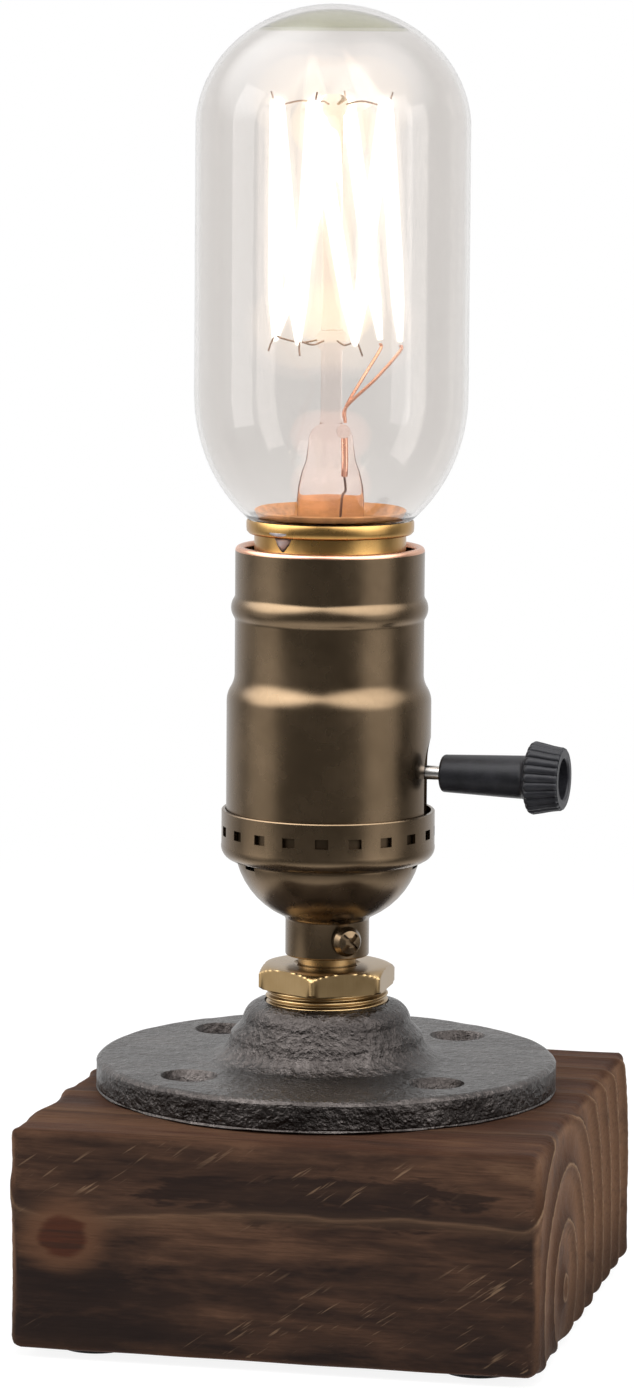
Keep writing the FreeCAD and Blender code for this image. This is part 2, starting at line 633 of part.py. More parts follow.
def switch_rotor():
    """Insulating rotor with two contact flats, pressed on the shaft's inner end."""
    rotor = ring(ROTOR_DIAMETER, SHAFT_DIAMETER + 2 * SEAT_GAP, -ROTOR_LENGTH / 2, ROTOR_LENGTH / 2)
    for x in (ROTOR_FLAT, -ROTOR_FLAT - ROTOR_DIAMETER):
        rotor = rotor.cut(Part.makeBox(ROTOR_DIAMETER, ROTOR_DIAMETER, ROTOR_FLAT_LENGTH,
                                       V(x, -ROTOR_DIAMETER / 2, -ROTOR_FLAT_LENGTH / 2)))
    return along_key(rotor)


def turn_knob():
    """Sleeve flaring into a fluted head with a hollow end."""
    start = KNOB_START
    neck = start + KNOB_SLEEVE_LENGTH
    end = neck + KNOB_HEAD_LENGTH
    sleeve = KNOB_SLEEVE_DIAMETER / 2
    sleeve_end = KNOB_SLEEVE_END_DIAMETER / 2
    head = KNOB_HEAD_DIAMETER / 2
    face = KNOB_END_DIAMETER / 2
    edge = KNOB_EDGE
    knob = turned((0, start), (sleeve - edge, start), (sleeve - 0.3 * edge, start + 0.3 * edge, sleeve, start + edge),
                  (sleeve_end, neck - 0.4), (head - 0.3, neck + 0.6), (head, neck + 1.1),
                  (face + 0.1, end - edge), (face - 0.25 * edge, end - 0.25 * edge, face - edge, end), (0, end))
    bore = cylinder(SHAFT_DIAMETER + 2 * SEAT_GAP, start - 1, start + SHAFT_IN_KNOB + 0.3)
    hollow = Part.makeCone(KNOB_HOLE_DIAMETER / 2 - 0.4, KNOB_HOLE_DIAMETER / 2, KNOB_HOLE_DEPTH + 0.01,
                           V(0, 0, end - KNOB_HOLE_DEPTH))
    flute = Part.makeCylinder(FLUTE_RADIUS, KNOB_HEAD_LENGTH + 4,
                              V(head + FLUTE_RADIUS - FLUTE_DEPTH, 0, neck - 2),
                              V(face - head, 0, KNOB_HEAD_LENGTH))
    flutes = [turn(flute, 360 * i / FLUTES) for i in range(FLUTES)]
    return along_key(knob.cut([bore, hollow] + flutes))


# ---------------------------------------------------------------- bulb
def ellipse_points(radius, rise, centre, first, last, chords):
    """(radius, height) points on an ellipse about the bulb's axis, from one angle to another."""
    angles = [math.radians(first + (last - first) * i / chords) for i in range(chords + 1)]
    return [(radius * math.cos(a), centre + rise * math.sin(a)) for a in angles]


def glass_outline(inset):
    """From the shoulder's foot over the dome to the axis, moved in by the wall's thickness."""
    radius = BULB_DIAMETER / 2 - inset
    shoulder = SCREW_CAP_LENGTH + SHOULDER_ABOVE_CAP
    drop = SHOULDER_DROP - inset
    foot = math.degrees(math.asin((SHOULDER_ABOVE_CAP - GLASS_LIP_HEIGHT - inset) / drop))
    low = ellipse_points(radius, drop, shoulder, -foot, 0, GLASS_CHORDS)
    return low + ellipse_points(radius, DOME_RISE - inset, BULB_LENGTH - DOME_RISE, 0, 90, GLASS_CHORDS)


def bulb_glass():
    """Tubular envelope: half-elliptic dome, straight side, long shoulder, and a neck inside the cap."""
    seat = SCREW_CAP_LENGTH + SEAT_GAP
    lip = GLASS_LIP_DIAMETER / 2
    neck = GLASS_NECK_DIAMETER / 2
    inner_neck = neck - GLASS_WALL
    glass = turned(*glass_outline(0), *glass_outline(GLASS_WALL)[::-1], (inner_neck, seat),
                   (inner_neck, GLASS_NECK_FOOT), (neck, GLASS_NECK_FOOT), (neck, seat), (lip, seat))
    return on_bulb(glass)


def bulb_cap():
    """Brass screw cap, drawn as the cylinder over its thread's crests."""
    crest = SCREW_CAP_DIAMETER / 2
    neck = SCREW_CAP_NECK / 2
    eye = INSULATOR_DIAMETER / 2
    wall = SCREW_CAP_WALL
    cap = turned((eye, INSULATOR_TOP), (crest, SCREW_THREAD_FOOT), (crest, SCREW_THREAD_TOP),
                 (neck, SCREW_THREAD_TOP + 0.8), (neck, SCREW_CAP_LENGTH), (neck - wall, SCREW_CAP_LENGTH),
                 (neck - wall, SCREW_THREAD_TOP + 0.6), (crest - wall, SCREW_THREAD_TOP - 0.2),
                 (crest - wall, SCREW_THREAD_FOOT + 0.2), (eye, INSULATOR_TOP + wall + 0.1))
    return on_bulb(cap)


def bulb_insulator():
    """Black glass cone between the cap and the tip contact."""
    tip = TIP_DIAMETER / 2
    wide = INSULATOR_DIAMETER / 2
    cone = turned((0, TIP_HEIGHT), (tip + 0.4, TIP_HEIGHT), (wide - 0.2, INSULATOR_TOP - 0.9),
                  (wide - SEAT_GAP, INSULATOR_TOP), (wide - SEAT_GAP, INSULATOR_TOP + 1), (0, INSULATOR_TOP + 1))
    return on_bulb(cone)


def bulb_tip():
    tip = TIP_DIAMETER / 2
    button = turned((0, 0), (0.5 * tip, 0.12, tip, 0.9), (tip, TIP_HEIGHT), (0, TIP_HEIGHT))
    return on_bulb(button)


def cap_solder():
    """Drop of solder that ties one lead to the cap's edge."""
    neck = SCREW_CAP_NECK / 2
    drop = Part.makeSphere(SOLDER_RADIUS, V(neck - SOLDER_RADIUS + 0.75, 0, SCREW_CAP_LENGTH - SOLDER_RADIUS))
    drop = drop.cut(cylinder(SCREW_CAP_NECK + 2 * SEAT_GAP, 0, SCREW_CAP_LENGTH + 5))
    return on_bulb(turn(drop, SOLDER_ANGLE))


def bulb_stem():
    """Flared glass tube, its flat pinch and the rod with two buttons that hold the wires."""
    tube = FLARE_TUBE_DIAMETER / 2
    wide = GLASS_NECK_DIAMETER / 2 - GLASS_WALL - SEAT_GAP
    wall = FLARE_WALL
    foot = GLASS_NECK_FOOT
    pinch = FLARE_TOP
    flare = turned((wide, foot), (tube + 0.25 * (wide - tube), foot + 3.5, tube, foot + 8), (tube, pinch - 1),
                   (tube - 0.8, pinch + 0.6), (0, pinch + 0.6), (0, pinch - wall),
                   (tube - wall - 0.6, pinch - wall), (tube - wall, pinch - 1.6), (tube - wall, foot + 8),
                   (tube + 0.25 * (wide - tube) - wall, foot + 3.7, wide - wall - 0.3, foot))
    plate = [Part.makePolygon([V(-w / 2, -d / 2, z), V(w / 2, -d / 2, z), V(w / 2, d / 2, z),
                               V(-w / 2, d / 2, z), V(-w / 2, -d / 2, z)])
             for w, d, z in ((PINCH_WIDTH, PINCH_THICKNESS, pinch), (PINCH_TOP_WIDTH, PINCH_THICKNESS, PINCH_TOP))]
    blade = turn(Part.makeLoft(plate, True, True), PINCH_ANGLE)
    rod = cylinder(GLASS_ROD_DIAMETER, PINCH_TOP - 1, GLASS_ROD_TOP)
    buttons = [turned((0, z - BUTTON_HEIGHT / 2), (GLASS_ROD_DIAMETER / 2, z - BUTTON_HEIGHT / 2),
                      (BUTTON_DIAMETER / 2, z, GLASS_ROD_DIAMETER / 2, z + BUTTON_HEIGHT / 2),
                      (0, z + BUTTON_HEIGHT / 2)) for z in (CAGE_FOOT, CAGE_TOP)]
    return on_bulb(flare.fuse([blade, rod] + buttons))


def hook_wire(radius, angle, height, gather, side):
    """A support wire from the button out to the filament, its end bent to a hook."""
    inner = polar(gather, angle, height)
    bend = polar(radius - 0.9, angle, height - 0.25 * side)
    tip = polar(radius + 0.55, angle, height + 0.75 * side)
    return wire_rod([inner, bend, tip], WIRE_RADIUS, 0.5)


def support_wires(angles, radius, height, side):
    gather = BUTTON_DIAMETER / 2 + HOOK_GAP
    wires = [hook_wire(radius, a, height, gather, side) for a in angles]
    return on_bulb(Part.makeCompound(wires))


def top_supports():
    return support_wires(TOP_HOOK_ANGLES, TOP_HOOK_RADIUS - 1.2, CAGE_TOP, 1)


def foot_supports():
    return support_wires(FOOT_HOOK_ANGLES, FOOT_HOOK_RADIUS - 1.2, CAGE_FOOT, -1)


def lead_wires():
    """Two stiff leads from the pinch to the filament's ends."""
    leads = []
    for (radius, angle), side in zip(LEAD_ENDS, (-1, 1)):
        start = polar(LEAD_START_OFFSET, PINCH_ANGLE, PINCH_TOP + HOOK_GAP)
        start = start + polar(LEAD_SPREAD * side, 90 + PINCH_ANGLE, 0)
        low = start + V(0, 0, 2.0)
        leads.append(wire_rod([start, low, polar(radius, angle, LEAD_END_HEIGHT)], LEAD_RADIUS, 1.0))
    return on_bulb(Part.makeCompound(leads))


def filament():
    """One unbroken wire strung up and down round the cage, from one lead to the other."""
    tops = [polar(TOP_HOOK_RADIUS, a, CAGE_TOP + 0.3) for a in TOP_HOOK_ANGLES]
    feet = [polar(FOOT_HOOK_RADIUS, a, CAGE_FOOT - 0.3) for a in FOOT_HOOK_ANGLES]
    first, last = [polar(r, a, LEAD_END_HEIGHT + LEAD_RADIUS + 0.3) for r, a in LEAD_ENDS]
    points = [last, tops[2], feet[2], tops[1], feet[1], tops[0], feet[0], tops[3], first]
    return on_bulb(wire_rod(points, FILAMENT_RADIUS, FILAMENT_BEND))


# ---------------------------------------------------------------- every piece by name
FIXED_TO_FRAME = {"wood_block": wood_block, "felt_pads": felt_pads}
ON_LAMP_AXIS = {
    "clamp_washer": clamp_washer, "clamp_nut": clamp_nut, "threaded_rod": threaded_rod,
    "pipe_flange": pipe_flange, "hex_bushing": hex_bushing,
    "socket_cap": socket_cap, "neck_screw": neck_screw, "cap_disc": cap_disc,
    "socket_shell": socket_shell, "shell_liner": shell_liner, "switch_body": switch_body,
    "terminal_screws": terminal_screws, "screw_shell": screw_shell, "shell_rivets": shell_rivets,
    "centre_contact": centre_contact,
    "switch_shaft": switch_shaft, "switch_rotor": switch_rotor, "turn_knob": turn_knob,
    "bulb_glass": bulb_glass, "bulb_cap": bulb_cap, "bulb_insulator": bulb_insulator,
    "bulb_tip": bulb_tip, "cap_solder": cap_solder, "bulb_stem": bulb_stem,
    "top_supports": top_supports, "foot_supports": foot_supports, "lead_wires": lead_wires,
    "filament": filament,
}


def main():
    os.makedirs("parts", exist_ok=True)
    for name, make in FIXED_TO_FRAME.items():
        make().exportStep(f"parts/{name}.step")
    for name, make in ON_LAMP_AXIS.items():
        on_block(make()).exportStep(f"parts/{name}.step")


main()
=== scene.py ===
"""Looks of the bare bulb table lamp.

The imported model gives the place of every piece. Lamp pieces are drawn about the lamp's upright axis in
millimetres, with height 0 on top of the block, and lamp_point() puts them in the part's frame in metres.
"""
import bpy
import bmesh
import math
from mathutils import Matrix, Vector, noise

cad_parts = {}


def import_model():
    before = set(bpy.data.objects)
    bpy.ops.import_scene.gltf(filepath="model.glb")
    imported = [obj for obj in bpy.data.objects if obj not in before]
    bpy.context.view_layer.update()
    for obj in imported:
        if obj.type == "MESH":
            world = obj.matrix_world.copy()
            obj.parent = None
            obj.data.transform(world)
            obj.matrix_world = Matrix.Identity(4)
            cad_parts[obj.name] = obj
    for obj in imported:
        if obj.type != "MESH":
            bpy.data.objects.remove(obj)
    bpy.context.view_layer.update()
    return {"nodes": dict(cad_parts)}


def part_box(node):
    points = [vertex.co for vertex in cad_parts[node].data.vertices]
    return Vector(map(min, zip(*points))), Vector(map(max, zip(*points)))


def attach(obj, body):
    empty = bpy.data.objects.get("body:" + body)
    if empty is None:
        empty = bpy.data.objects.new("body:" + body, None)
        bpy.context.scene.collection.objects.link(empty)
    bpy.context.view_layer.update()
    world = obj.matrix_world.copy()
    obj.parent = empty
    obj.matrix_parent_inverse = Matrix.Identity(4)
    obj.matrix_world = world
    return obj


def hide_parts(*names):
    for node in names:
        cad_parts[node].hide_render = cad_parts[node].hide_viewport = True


MM = 0.001
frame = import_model()
nodes = frame["nodes"]

ROOT, KEY, BULB = "root", "key", "bulb_turn"
ARC_STEP = 7.5            # degrees between points of a rounded outline
AROUND = 160              # sides of a turned piece


# ---------------------------------------------------------------- places
def low_of(node):
    """Lowest corner of a node, in millimetres."""
    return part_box(node)[0] / MM


def size_of(node):
    low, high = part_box(node)
    return (high - low) / MM


def middle_of(node):
    low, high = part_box(node)
    return (low + high) / 2 / MM


cap_size, shell_size, block_size = size_of("socket_cap"), size_of("socket_shell"), size_of("wood_block")
flange_size, glass_size = size_of("pipe_flange"), size_of("bulb_glass")
block_middle, flange_middle = middle_of("wood_block"), middle_of("pipe_flange")

AXIS_X, AXIS_Y = flange_middle.x, flange_middle.y
SEAT = low_of("pipe_flange").z            # the block's top, where lamp heights start
BULB_TIP = low_of("bulb_tip").z - SEAT    # bulb heights start at its contact tip
NECK_BASE = low_of("socket_cap").z - SEAT
RIM = NECK_BASE + cap_size.z
SHELL_FOOT = low_of("socket_shell").z - SEAT
MOUTH = SHELL_FOOT + shell_size.z


def lamp_point(x, y, z):
    return Vector(((AXIS_X + x) * MM, (AXIS_Y + y) * MM, (SEAT + z) * MM))


def polar(radius, degrees, z):
    angle = math.radians(degrees)
    return Vector((radius * math.cos(angle), radius * math.sin(angle), z))


def upright(z):
    return Vector((0, 0, z))


def clip(*values):
    """The least of the values, kept between 0 and 1."""
    return max(0.0, min(1.0, *values))


# ---------------------------------------------------------------- meshes
def put(name, data):
    """A new object in the scene."""
    item = bpy.data.objects.new(name, data)
    bpy.context.scene.collection.objects.link(item)
    return item


def new_object(name, vertices, faces, material, smooth_below=40.0):
    mesh = bpy.data.meshes.new(name)
    mesh.from_pydata([tuple(v) for v in vertices], [], faces)
    mesh.validate()
    cleaned = bmesh.new()
    cleaned.from_mesh(mesh)
    bmesh.ops.recalc_face_normals(cleaned, faces=cleaned.faces)
    cleaned.to_mesh(mesh)
    cleaned.free()
    mesh.shade_smooth()
    mesh.set_sharp_from_angle(angle=math.radians(smooth_below))
    piece = put(name, mesh)
    if material:
        mesh.materials.append(material)
    return piece


def arc_points(start, through, end):
    """Points after start along the arc through three (radius, height) points."""
    (ax, ay), (bx, by), (cx, cy) = start, through, end
    d = 2 * (ax * (by - cy) + bx * (cy - ay) + cx * (ay - by))
    if abs(d) < 1e-9:
        return [end]
    sa, sb, sc = ax * ax + ay * ay, bx * bx + by * by, cx * cx + cy * cy
    ox = (sa * (by - cy) + sb * (cy - ay) + sc * (ay - by)) / d
    oy = (sa * (cx - bx) + sb * (ax - cx) + sc * (bx - ax)) / d
    first = math.atan2(ay - oy, ax - ox)
    middle = (math.atan2(by - oy, bx - ox) - first) % math.tau
    last = (math.atan2(cy - oy, cx - ox) - first) % math.tau
    sweep = last if middle < last else last - math.tau
    radius = math.hypot(ax - ox, ay - oy)
    steps = max(2, math.ceil(abs(math.degrees(sweep)) / ARC_STEP))
    angles = [first + sweep * (i + 1) / steps for i in range(steps)]
    return [(ox + radius * math.cos(a), oy + radius * math.sin(a)) for a in angles]


def outline(start, *steps):
    """Outline points. A step of two numbers is a line, one of four an arc through its first point."""
    points = [start]
    for step in steps:
        points += [step] if len(step) == 2 else arc_points(points[-1], step[:2], step[2:])
    return points


def lathe(name, points, material, around=AROUND, shape=None, place=lamp_point, smooth_below=40.0):
    """A closed outline of (radius, height) turned about the lamp's axis; shape may move its points."""
    vertices, faces, rows = [], [], []
    for radius, height in points:
        if radius < 1e-6:
            rows.append([len(vertices)] * around)
            vertices.append(place(0, 0, height))
            continue
        rows.append(list(range(len(vertices), len(vertices) + around)))
        for i in range(around):
            angle = math.tau * i / around
            r, z = shape(radius, height, angle) if shape else (radius, height)
            vertices.append(place(r * math.cos(angle), r * math.sin(angle), z))
    for a, b in zip(rows, rows[1:] + rows[:1]):
        for i in range(around):
            j = (i + 1) % around
            corners = list(dict.fromkeys((a[i], a[j], b[j], b[i])))
            if len(corners) > 2:
                faces.append(corners)
    return new_object(name, vertices, faces, material, smooth_below)


def sweep(name, path, radius, material, sides=12, place=lamp_point, taper=None):
    """A round tube with closed ends along points; taper gives its radius at a point."""
    runs = [(b - a).normalized() for a, b in zip(path, path[1:])]
    side = runs[0].orthogonal().normalized()
    vertices, faces = [], []
    for i, point in enumerate(path):
        along = (runs[max(i - 1, 0)] + runs[min(i, len(runs) - 1)]).normalized()
        side = (side - along * side.dot(along)).normalized()
        other = along.cross(side)
        size = taper(point) if taper else radius
        for k in range(sides):
            angle = math.tau * k / sides
            vertices.append(place(*(point + (side * math.cos(angle) + other * math.sin(angle)) * size)))
    for i in range(len(path) - 1):
        for k in range(sides):
            m = (k + 1) % sides
            faces.append([i * sides + k, i * sides + m, (i + 1) * sides + m, (i + 1) * sides + k])
    faces.append(list(range(sides))[::-1])
    faces.append(list(range((len(path) - 1) * sides, len(path) * sides)))
    return new_object(name, vertices, faces, material, 50)


def smooth_path(points, steps=10):
    """A Catmull-Rom curve through points."""
    padded = [2 * points[0] - points[1]] + points + [2 * points[-1] - points[-2]]
    path = []
    for a, b, c, d in zip(padded, padded[1:], padded[2:], padded[3:]):
        for i in range(steps):
            t = i / steps
            path.append(0.5 * (2 * b + (c - a) * t + (2 * a - 5 * b + 4 * c - d) * t * t
                               + (3 * b - a - 3 * c + d) * t ** 3))
    return path + [points[-1]]


def carve(piece, *cutters, smooth_below=40.0):
    """Cuts closed meshes out of a piece and throws them away."""
    for cutter in cutters:
        cut = piece.modifiers.new("cut", "BOOLEAN")
        cut.object = cutter
        cut.solver = "EXACT"
    depsgraph = bpy.context.evaluated_depsgraph_get()
    mesh = bpy.data.meshes.new_from_object(piece.evaluated_get(depsgraph))
    piece.modifiers.clear()
    piece.data = mesh
    mesh.shade_smooth()
    mesh.set_sharp_from_angle(angle=math.radians(smooth_below))
    for cutter in cutters:
        bpy.data.objects.remove(cutter)
    return piece


def block_cutter(low, high, degrees=0.0, place=lamp_point):
    """A box between two corners, turned about the lamp's axis."""
    (x0, y0, z0), (x1, y1, z1) = low, high
    angle = math.radians(degrees)
    spots = []
    for z in (z0, z1):
        for x, y in ((x0, y0), (x1, y0), (x1, y1), (x0, y1)):
            spots.append(place(x * math.cos(angle) - y * math.sin(angle),
                               x * math.sin(angle) + y * math.cos(angle), z))
    faces = [(0, 1, 2, 3), (4, 5, 6, 7), (0, 1, 5, 4), (1, 2, 6, 5), (2, 3, 7, 6), (3, 0, 4, 7)]
    return new_object("cutter", spots, faces, None)


def rod_cutter(start, end, radius, sides=48, end_radius=None):
    """A cylinder or cone between two points in the lamp's frame."""
    widths = {tuple(start): radius, tuple(end): radius if end_radius is None else end_radius}
    return sweep("cutter", [start, end], radius, None, sides, taper=lambda point: widths[tuple(point)])


# ---------------------------------------------------------------- materials
WHITE = (1, 1, 1, 1)


def add(tree, kind, props=None, **inputs):
    """A shader node; inputs are constants or sockets, with _ for a space in the input's name."""
    item = tree.nodes.new("ShaderNode" + kind)
    for key, value in (props or {}).items():
        setattr(item, key, value)
    for key, value in inputs.items():
        socket = item.inputs[int(key[2:])] if key.startswith("in") and key[2:].isdigit() \
            else item.inputs[key.replace("_", " ")]
        if isinstance(value, bpy.types.NodeSocket):
            tree.links.new(value, socket)
        else:
            socket.default_value = value
    return item


def maths(tree, operation, a, b=0.0):
    return add(tree, "Math", {"operation": operation}, in0=a, in1=b).outputs[0]


def plus(tree, a, b):
    return maths(tree, "ADD", a, b)


def minus(tree, a, b):
    return maths(tree, "SUBTRACT", a, b)


def times(tree, a, b):
    return maths(tree, "MULTIPLY", a, b)


def ramp(tree, factor, *stops):
    """A colour ramp from (position, colour or grey) stops."""
    item = add(tree, "ValToRGB", Fac=factor)
    items = item.color_ramp.elements
    while len(items) < len(stops):
        items.new(0.5)
    for element, (position, colour) in zip(items, stops):
        element.position = position
        grey = (colour,) * 3 if isinstance(colour, (int, float)) else colour
        element.color = (*grey, 1)
    return item.outputs[0]


def solid(value):
    """A colour of three numbers gets its fourth; anything else stays."""
    return (*value, 1) if isinstance(value, tuple) and len(value) == 3 else value


def mix(tree, factor, a, b):
    return add(tree, "Mix", {"data_type": "RGBA"}, in0=factor, in6=solid(a), in7=solid(b)).outputs[2]


def tint(tree, colour, other, mask, amount):
    """Some of another colour where the mask is 1."""
    return mix(tree, times(tree, mask, amount), colour, other)


def place_in(tree, scale=(1, 1, 1), turned=(0, 0, 0)):
    """Object coordinates in millimetres, stretched by a scale."""
    spot = add(tree, "TexCoord").outputs["Object"]
    sized = tuple(s / MM for s in scale)
    return add(tree, "Mapping", Vector=spot, Scale=sized, Rotation=turned).outputs[0]


def cloud(tree, size, detail=3.0, rough=0.55, stretch=(1, 1, 1), warp=0.0):
    """Noise with features of about a size in millimetres."""
    spot = place_in(tree, stretch)
    return add(tree, "TexNoise", Vector=spot, Scale=1 / size, Detail=detail, Roughness=rough,
               Distortion=warp).outputs[0]


def bump(tree, height, depth, normal=None):
    """A bump whose full height is depth millimetres."""
    inputs = {"Height": height, "Distance": depth * MM, "Strength": 1.0}
    if normal:
        inputs["Normal"] = normal
    return add(tree, "Bump", **inputs).outputs[0]


def new_material(name):
    material = bpy.data.materials.new(name)
    material.use_nodes = True
    return material, material.node_tree


def finish(name, build, **constants):
    """A material: build(tree) gives sockets for the shader, constants go straight on it."""
    material, tree = new_material(name)
    shader = tree.nodes["Principled BSDF"]
    for key, value in {**constants, **build(tree)}.items():
        socket = shader.inputs[key.replace("_", " ")]
        if isinstance(value, bpy.types.NodeSocket):
            tree.links.new(value, socket)
        else:
            socket.default_value = solid(value)
    return material


def smooth_step(tree, value, low, high):
    step = add(tree, "MapRange", {"interpolation_type": "SMOOTHSTEP"}, in0=value, in1=low, in2=high)
    return step.outputs[0]


def attribute(tree, name):
    return add(tree, "Attribute", {"attribute_name": name}).outputs["Fac"]


CHAR, BROWN, WARM = (0.016, 0.0115, 0.0105), (0.040, 0.023, 0.0165), (0.090, 0.048, 0.030)
TAN, PALE, RUST = (0.150, 0.088, 0.053), (0.250, 0.160, 0.098), (0.052, 0.017, 0.011)
KNOT_BROWN = (0.105, 0.052, 0.030)
SIDE_TONES = ((0.40, CHAR), (0.49, BROWN), (0.60, WARM), (0.74, TAN))
TOP_TONES = ((0.36, (0.026, 0.014, 0.010)), (0.48, (0.052, 0.025, 0.016)), (0.62, (0.104, 0.055, 0.033)))
END_TONES = ((0.0, PALE), (0.05, (0.046, 0.023, 0.014)), (0.3, (0.082, 0.042, 0.025)),
             (0.75, (0.145, 0.080, 0.048)), (0.93, (0.095, 0.051, 0.031)), (1.0, (0.19, 0.115, 0.069)))
HARD_RING = ((0.0, 1.0), (0.035, 0.25), (0.10, 0.0), (0.88, 0.0), (0.965, 0.35), (1.0, 1.0))
SOFT_RING = ((0.0, 0.0), (0.03, 0.9), (0.12, 0.25), (0.3, 0.0), (1.0, 0.0))
MINOR_RING = ((0.0, 0.2), (0.5, 0.75), (0.85, 0.15), (1.0, 0.2))
SCORCH_X, SCORCH_Z = 9.0, 29.0            # middle of the scorched patch on the block's front
SCORCH_WIDE, SCORCH_TALL = 33.0, 5.5
SCRATCH_SLANT = math.radians(35)


def scorched(tree, x, z, ragged):
    """1 inside a scorched patch with a ragged edge."""
    reach = []
    for place, middle, half in ((x, SCORCH_X, SCORCH_WIDE), (z, SCORCH_Z, SCORCH_TALL)):
        away = maths(tree, "DIVIDE", minus(tree, place, middle), half)
        reach.append(maths(tree, "POWER", maths(tree, "ABSOLUTE", away), 2.0))
    inside = minus(tree, 1.0, plus(tree, *reach))
    return smooth_step(tree, plus(tree, times(tree, inside, 0.30), ragged), 0.56, 0.70)


def scratches(tree, x, z):
    """Slanting pale scratches, more of them low down and to the right."""
    slant = add(tree, "Mapping", Vector=place_in(tree, turned=(0, SCRATCH_SLANT, 0)), Scale=(0.09, 1, 1))
    scratch = add(tree, "TexNoise", Vector=slant.outputs[0], Scale=1.5, Detail=2.0, Roughness=0.6)
    scratch = smooth_step(tree, scratch.outputs[0], 0.60, 0.72)
    worn = cloud(tree, 12, 2, 0.5, (0.6, 1, 1.2))
    lower = smooth_step(tree, minus(tree, x, z), -5.0, 45.0)
    worn = smooth_step(tree, plus(tree, worn, times(tree, lower, 0.12)), 0.50, 0.66)
    return times(tree, times(tree, scratch, worn), 0.5)


def wood_material():
    """Scorched and brushed softwood: soft rings worn back, hard rings left as pale lines."""
    def build(tree):
        ring, knot = attribute(tree, "ring"), attribute(tree, "knot")
        end, top, front = (attribute(tree, n) for n in ("end_grain", "top_face", "front_face"))
        spot = add(tree, "SeparateXYZ", Vector=place_in(tree))
        x, z = spot.outputs["X"], spot.outputs["Z"]
        fibre = cloud(tree, 1.3, 4, 0.65, (0.04, 1, 1))
        fine = cloud(tree, 0.4, 3, 0.7, (0.035, 1, 1))
        patch = cloud(tree, 13, 4, 0.62, (0.24, 1, 1.3), 0.5)
        ragged = cloud(tree, 3.0, 4, 0.7, (0.20, 1, 1), 0.3)
        dots = cloud(tree, 0.7, 3, 0.6)

        wavy = plus(tree, ring, times(tree, minus(tree, fibre, 0.5), 0.10))
        phase = maths(tree, "FRACT", wavy)
        crest, groove = ramp(tree, phase, *HARD_RING), ramp(tree, phase, *SOFT_RING)
        minor = ramp(tree, maths(tree, "FRACT", times(tree, wavy, 5.3)), *MINOR_RING)
        tone = plus(tree, times(tree, patch, 0.62), times(tree, ragged, 0.38))
        low = smooth_step(tree, z, 22.0, 8.0)
        tone = minus(tree, tone, times(tree, times(tree, low, front), 0.10))
        streaks = times(tree, smooth_step(tree, fine, 0.46, 0.66), 0.7)
        scratch = scratches(tree, x, z)

        side = ramp(tree, tone, *SIDE_TONES)
        side = mix(tree, streaks, side, mix(tree, 0.5, side, CHAR))
        side = tint(tree, side, WARM, minor, 0.22)
        side = tint(tree, side, CHAR, times(tree, scorched(tree, x, z, ragged), front), 0.85)
        side = tint(tree, side, PALE, scratch, front)
        side = tint(tree, side, TAN, crest, 0.55)
        side = tint(tree, side, CHAR, groove, 0.5)

        above = tint(tree, ramp(tree, tone, *TOP_TONES), BROWN, streaks, 0.8)
        above = tint(tree, above, TAN, crest, 0.35)
        above = tint(tree, above, CHAR, groove, 0.45)

        cut = tint(tree, ramp(tree, phase, *END_TONES), BROWN, smooth_step(tree, patch, 0.46, 0.34), 0.5)
        cut = tint(tree, cut, BROWN, smooth_step(tree, dots, 0.5, 0.7), 0.3)
        cut = tint(tree, cut, CHAR, smooth_step(tree, z, 16.0, 3.0), 0.6)

        colour = mix(tree, end, mix(tree, top, side, above), cut)
        knot = plus(tree, knot, times(tree, minus(tree, tone, 0.5), 0.9))
        colour = tint(tree, colour, KNOT_BROWN, smooth_step(tree, knot, 0.05, 0.55), 0.8)
        heart = mix(tree, smooth_step(tree, fibre, 0.45, 0.7), RUST, CHAR)
        colour = tint(tree, colour, heart, smooth_step(tree, knot, 0.52, 0.66), 0.8)

        relief = plus(tree, times(tree, crest, 0.55), times(tree, fibre, 0.5))
        relief = plus(tree, relief, times(tree, fine, 0.35))
        relief = plus(tree, relief, times(tree, plus(tree, ragged, scratch), 0.45))
        rough = ramp(tree, tone, (0.35, 0.50), (0.6, 0.68))
        return {"Base_Color": colour, "Roughness": rough, "Normal": bump(tree, relief, 0.34)}
    return finish("charred_wood", build, Specular_IOR_Level=0.02)


IRON_TONES = ((0.3, (0.020, 0.017, 0.016)), (0.5, (0.038, 0.033, 0.031)), (0.7, (0.085, 0.075, 0.071)))


def iron_material():
    def build(tree):
        pits = cloud(tree, 1.0, 4, 0.62)
        lumps = cloud(tree, 3.4, 3, 0.55)
        stain = cloud(tree, 11, 4, 0.6)
        colour = ramp(tree, plus(tree, times(tree, stain, 0.6), times(tree, pits, 0.4)), *IRON_TONES)
        height = plus(tree, times(tree, pits, 0.55), times(tree, lumps, 0.8))
        rough = ramp(tree, pits, (0.3, 0.38), (0.7, 0.24))
        return {"Base_Color": colour, "Roughness": rough, "Normal": bump(tree, height, 0.85)}
    return finish("raw_cast_iron", build, Metallic=0.97)


def metal_material(name, low, high, rough, metallic=1.0, brushed=0.006, grain=0.25, stretch=(1, 1, 0.08)):
    """A metal whose colour drifts between two shades, with a fine brushed or drawn finish."""
    def build(tree):
        drift = cloud(tree, 7, 3, 0.6)
        lines = cloud(tree, grain, 3, 0.6, stretch)
        shade = plus(tree, times(tree, drift, 0.8), times(tree, lines, 0.2))
        colour = ramp(tree, shade, (0.3, low), (0.7, high))
        return {"Base_Color": colour, "Normal": bump(tree, lines, brushed),
                "Roughness": ramp(tree, drift, (0.3, rough * 0.88), (0.7, rough * 1.12))}
    return finish(name, build, Metallic=metallic)


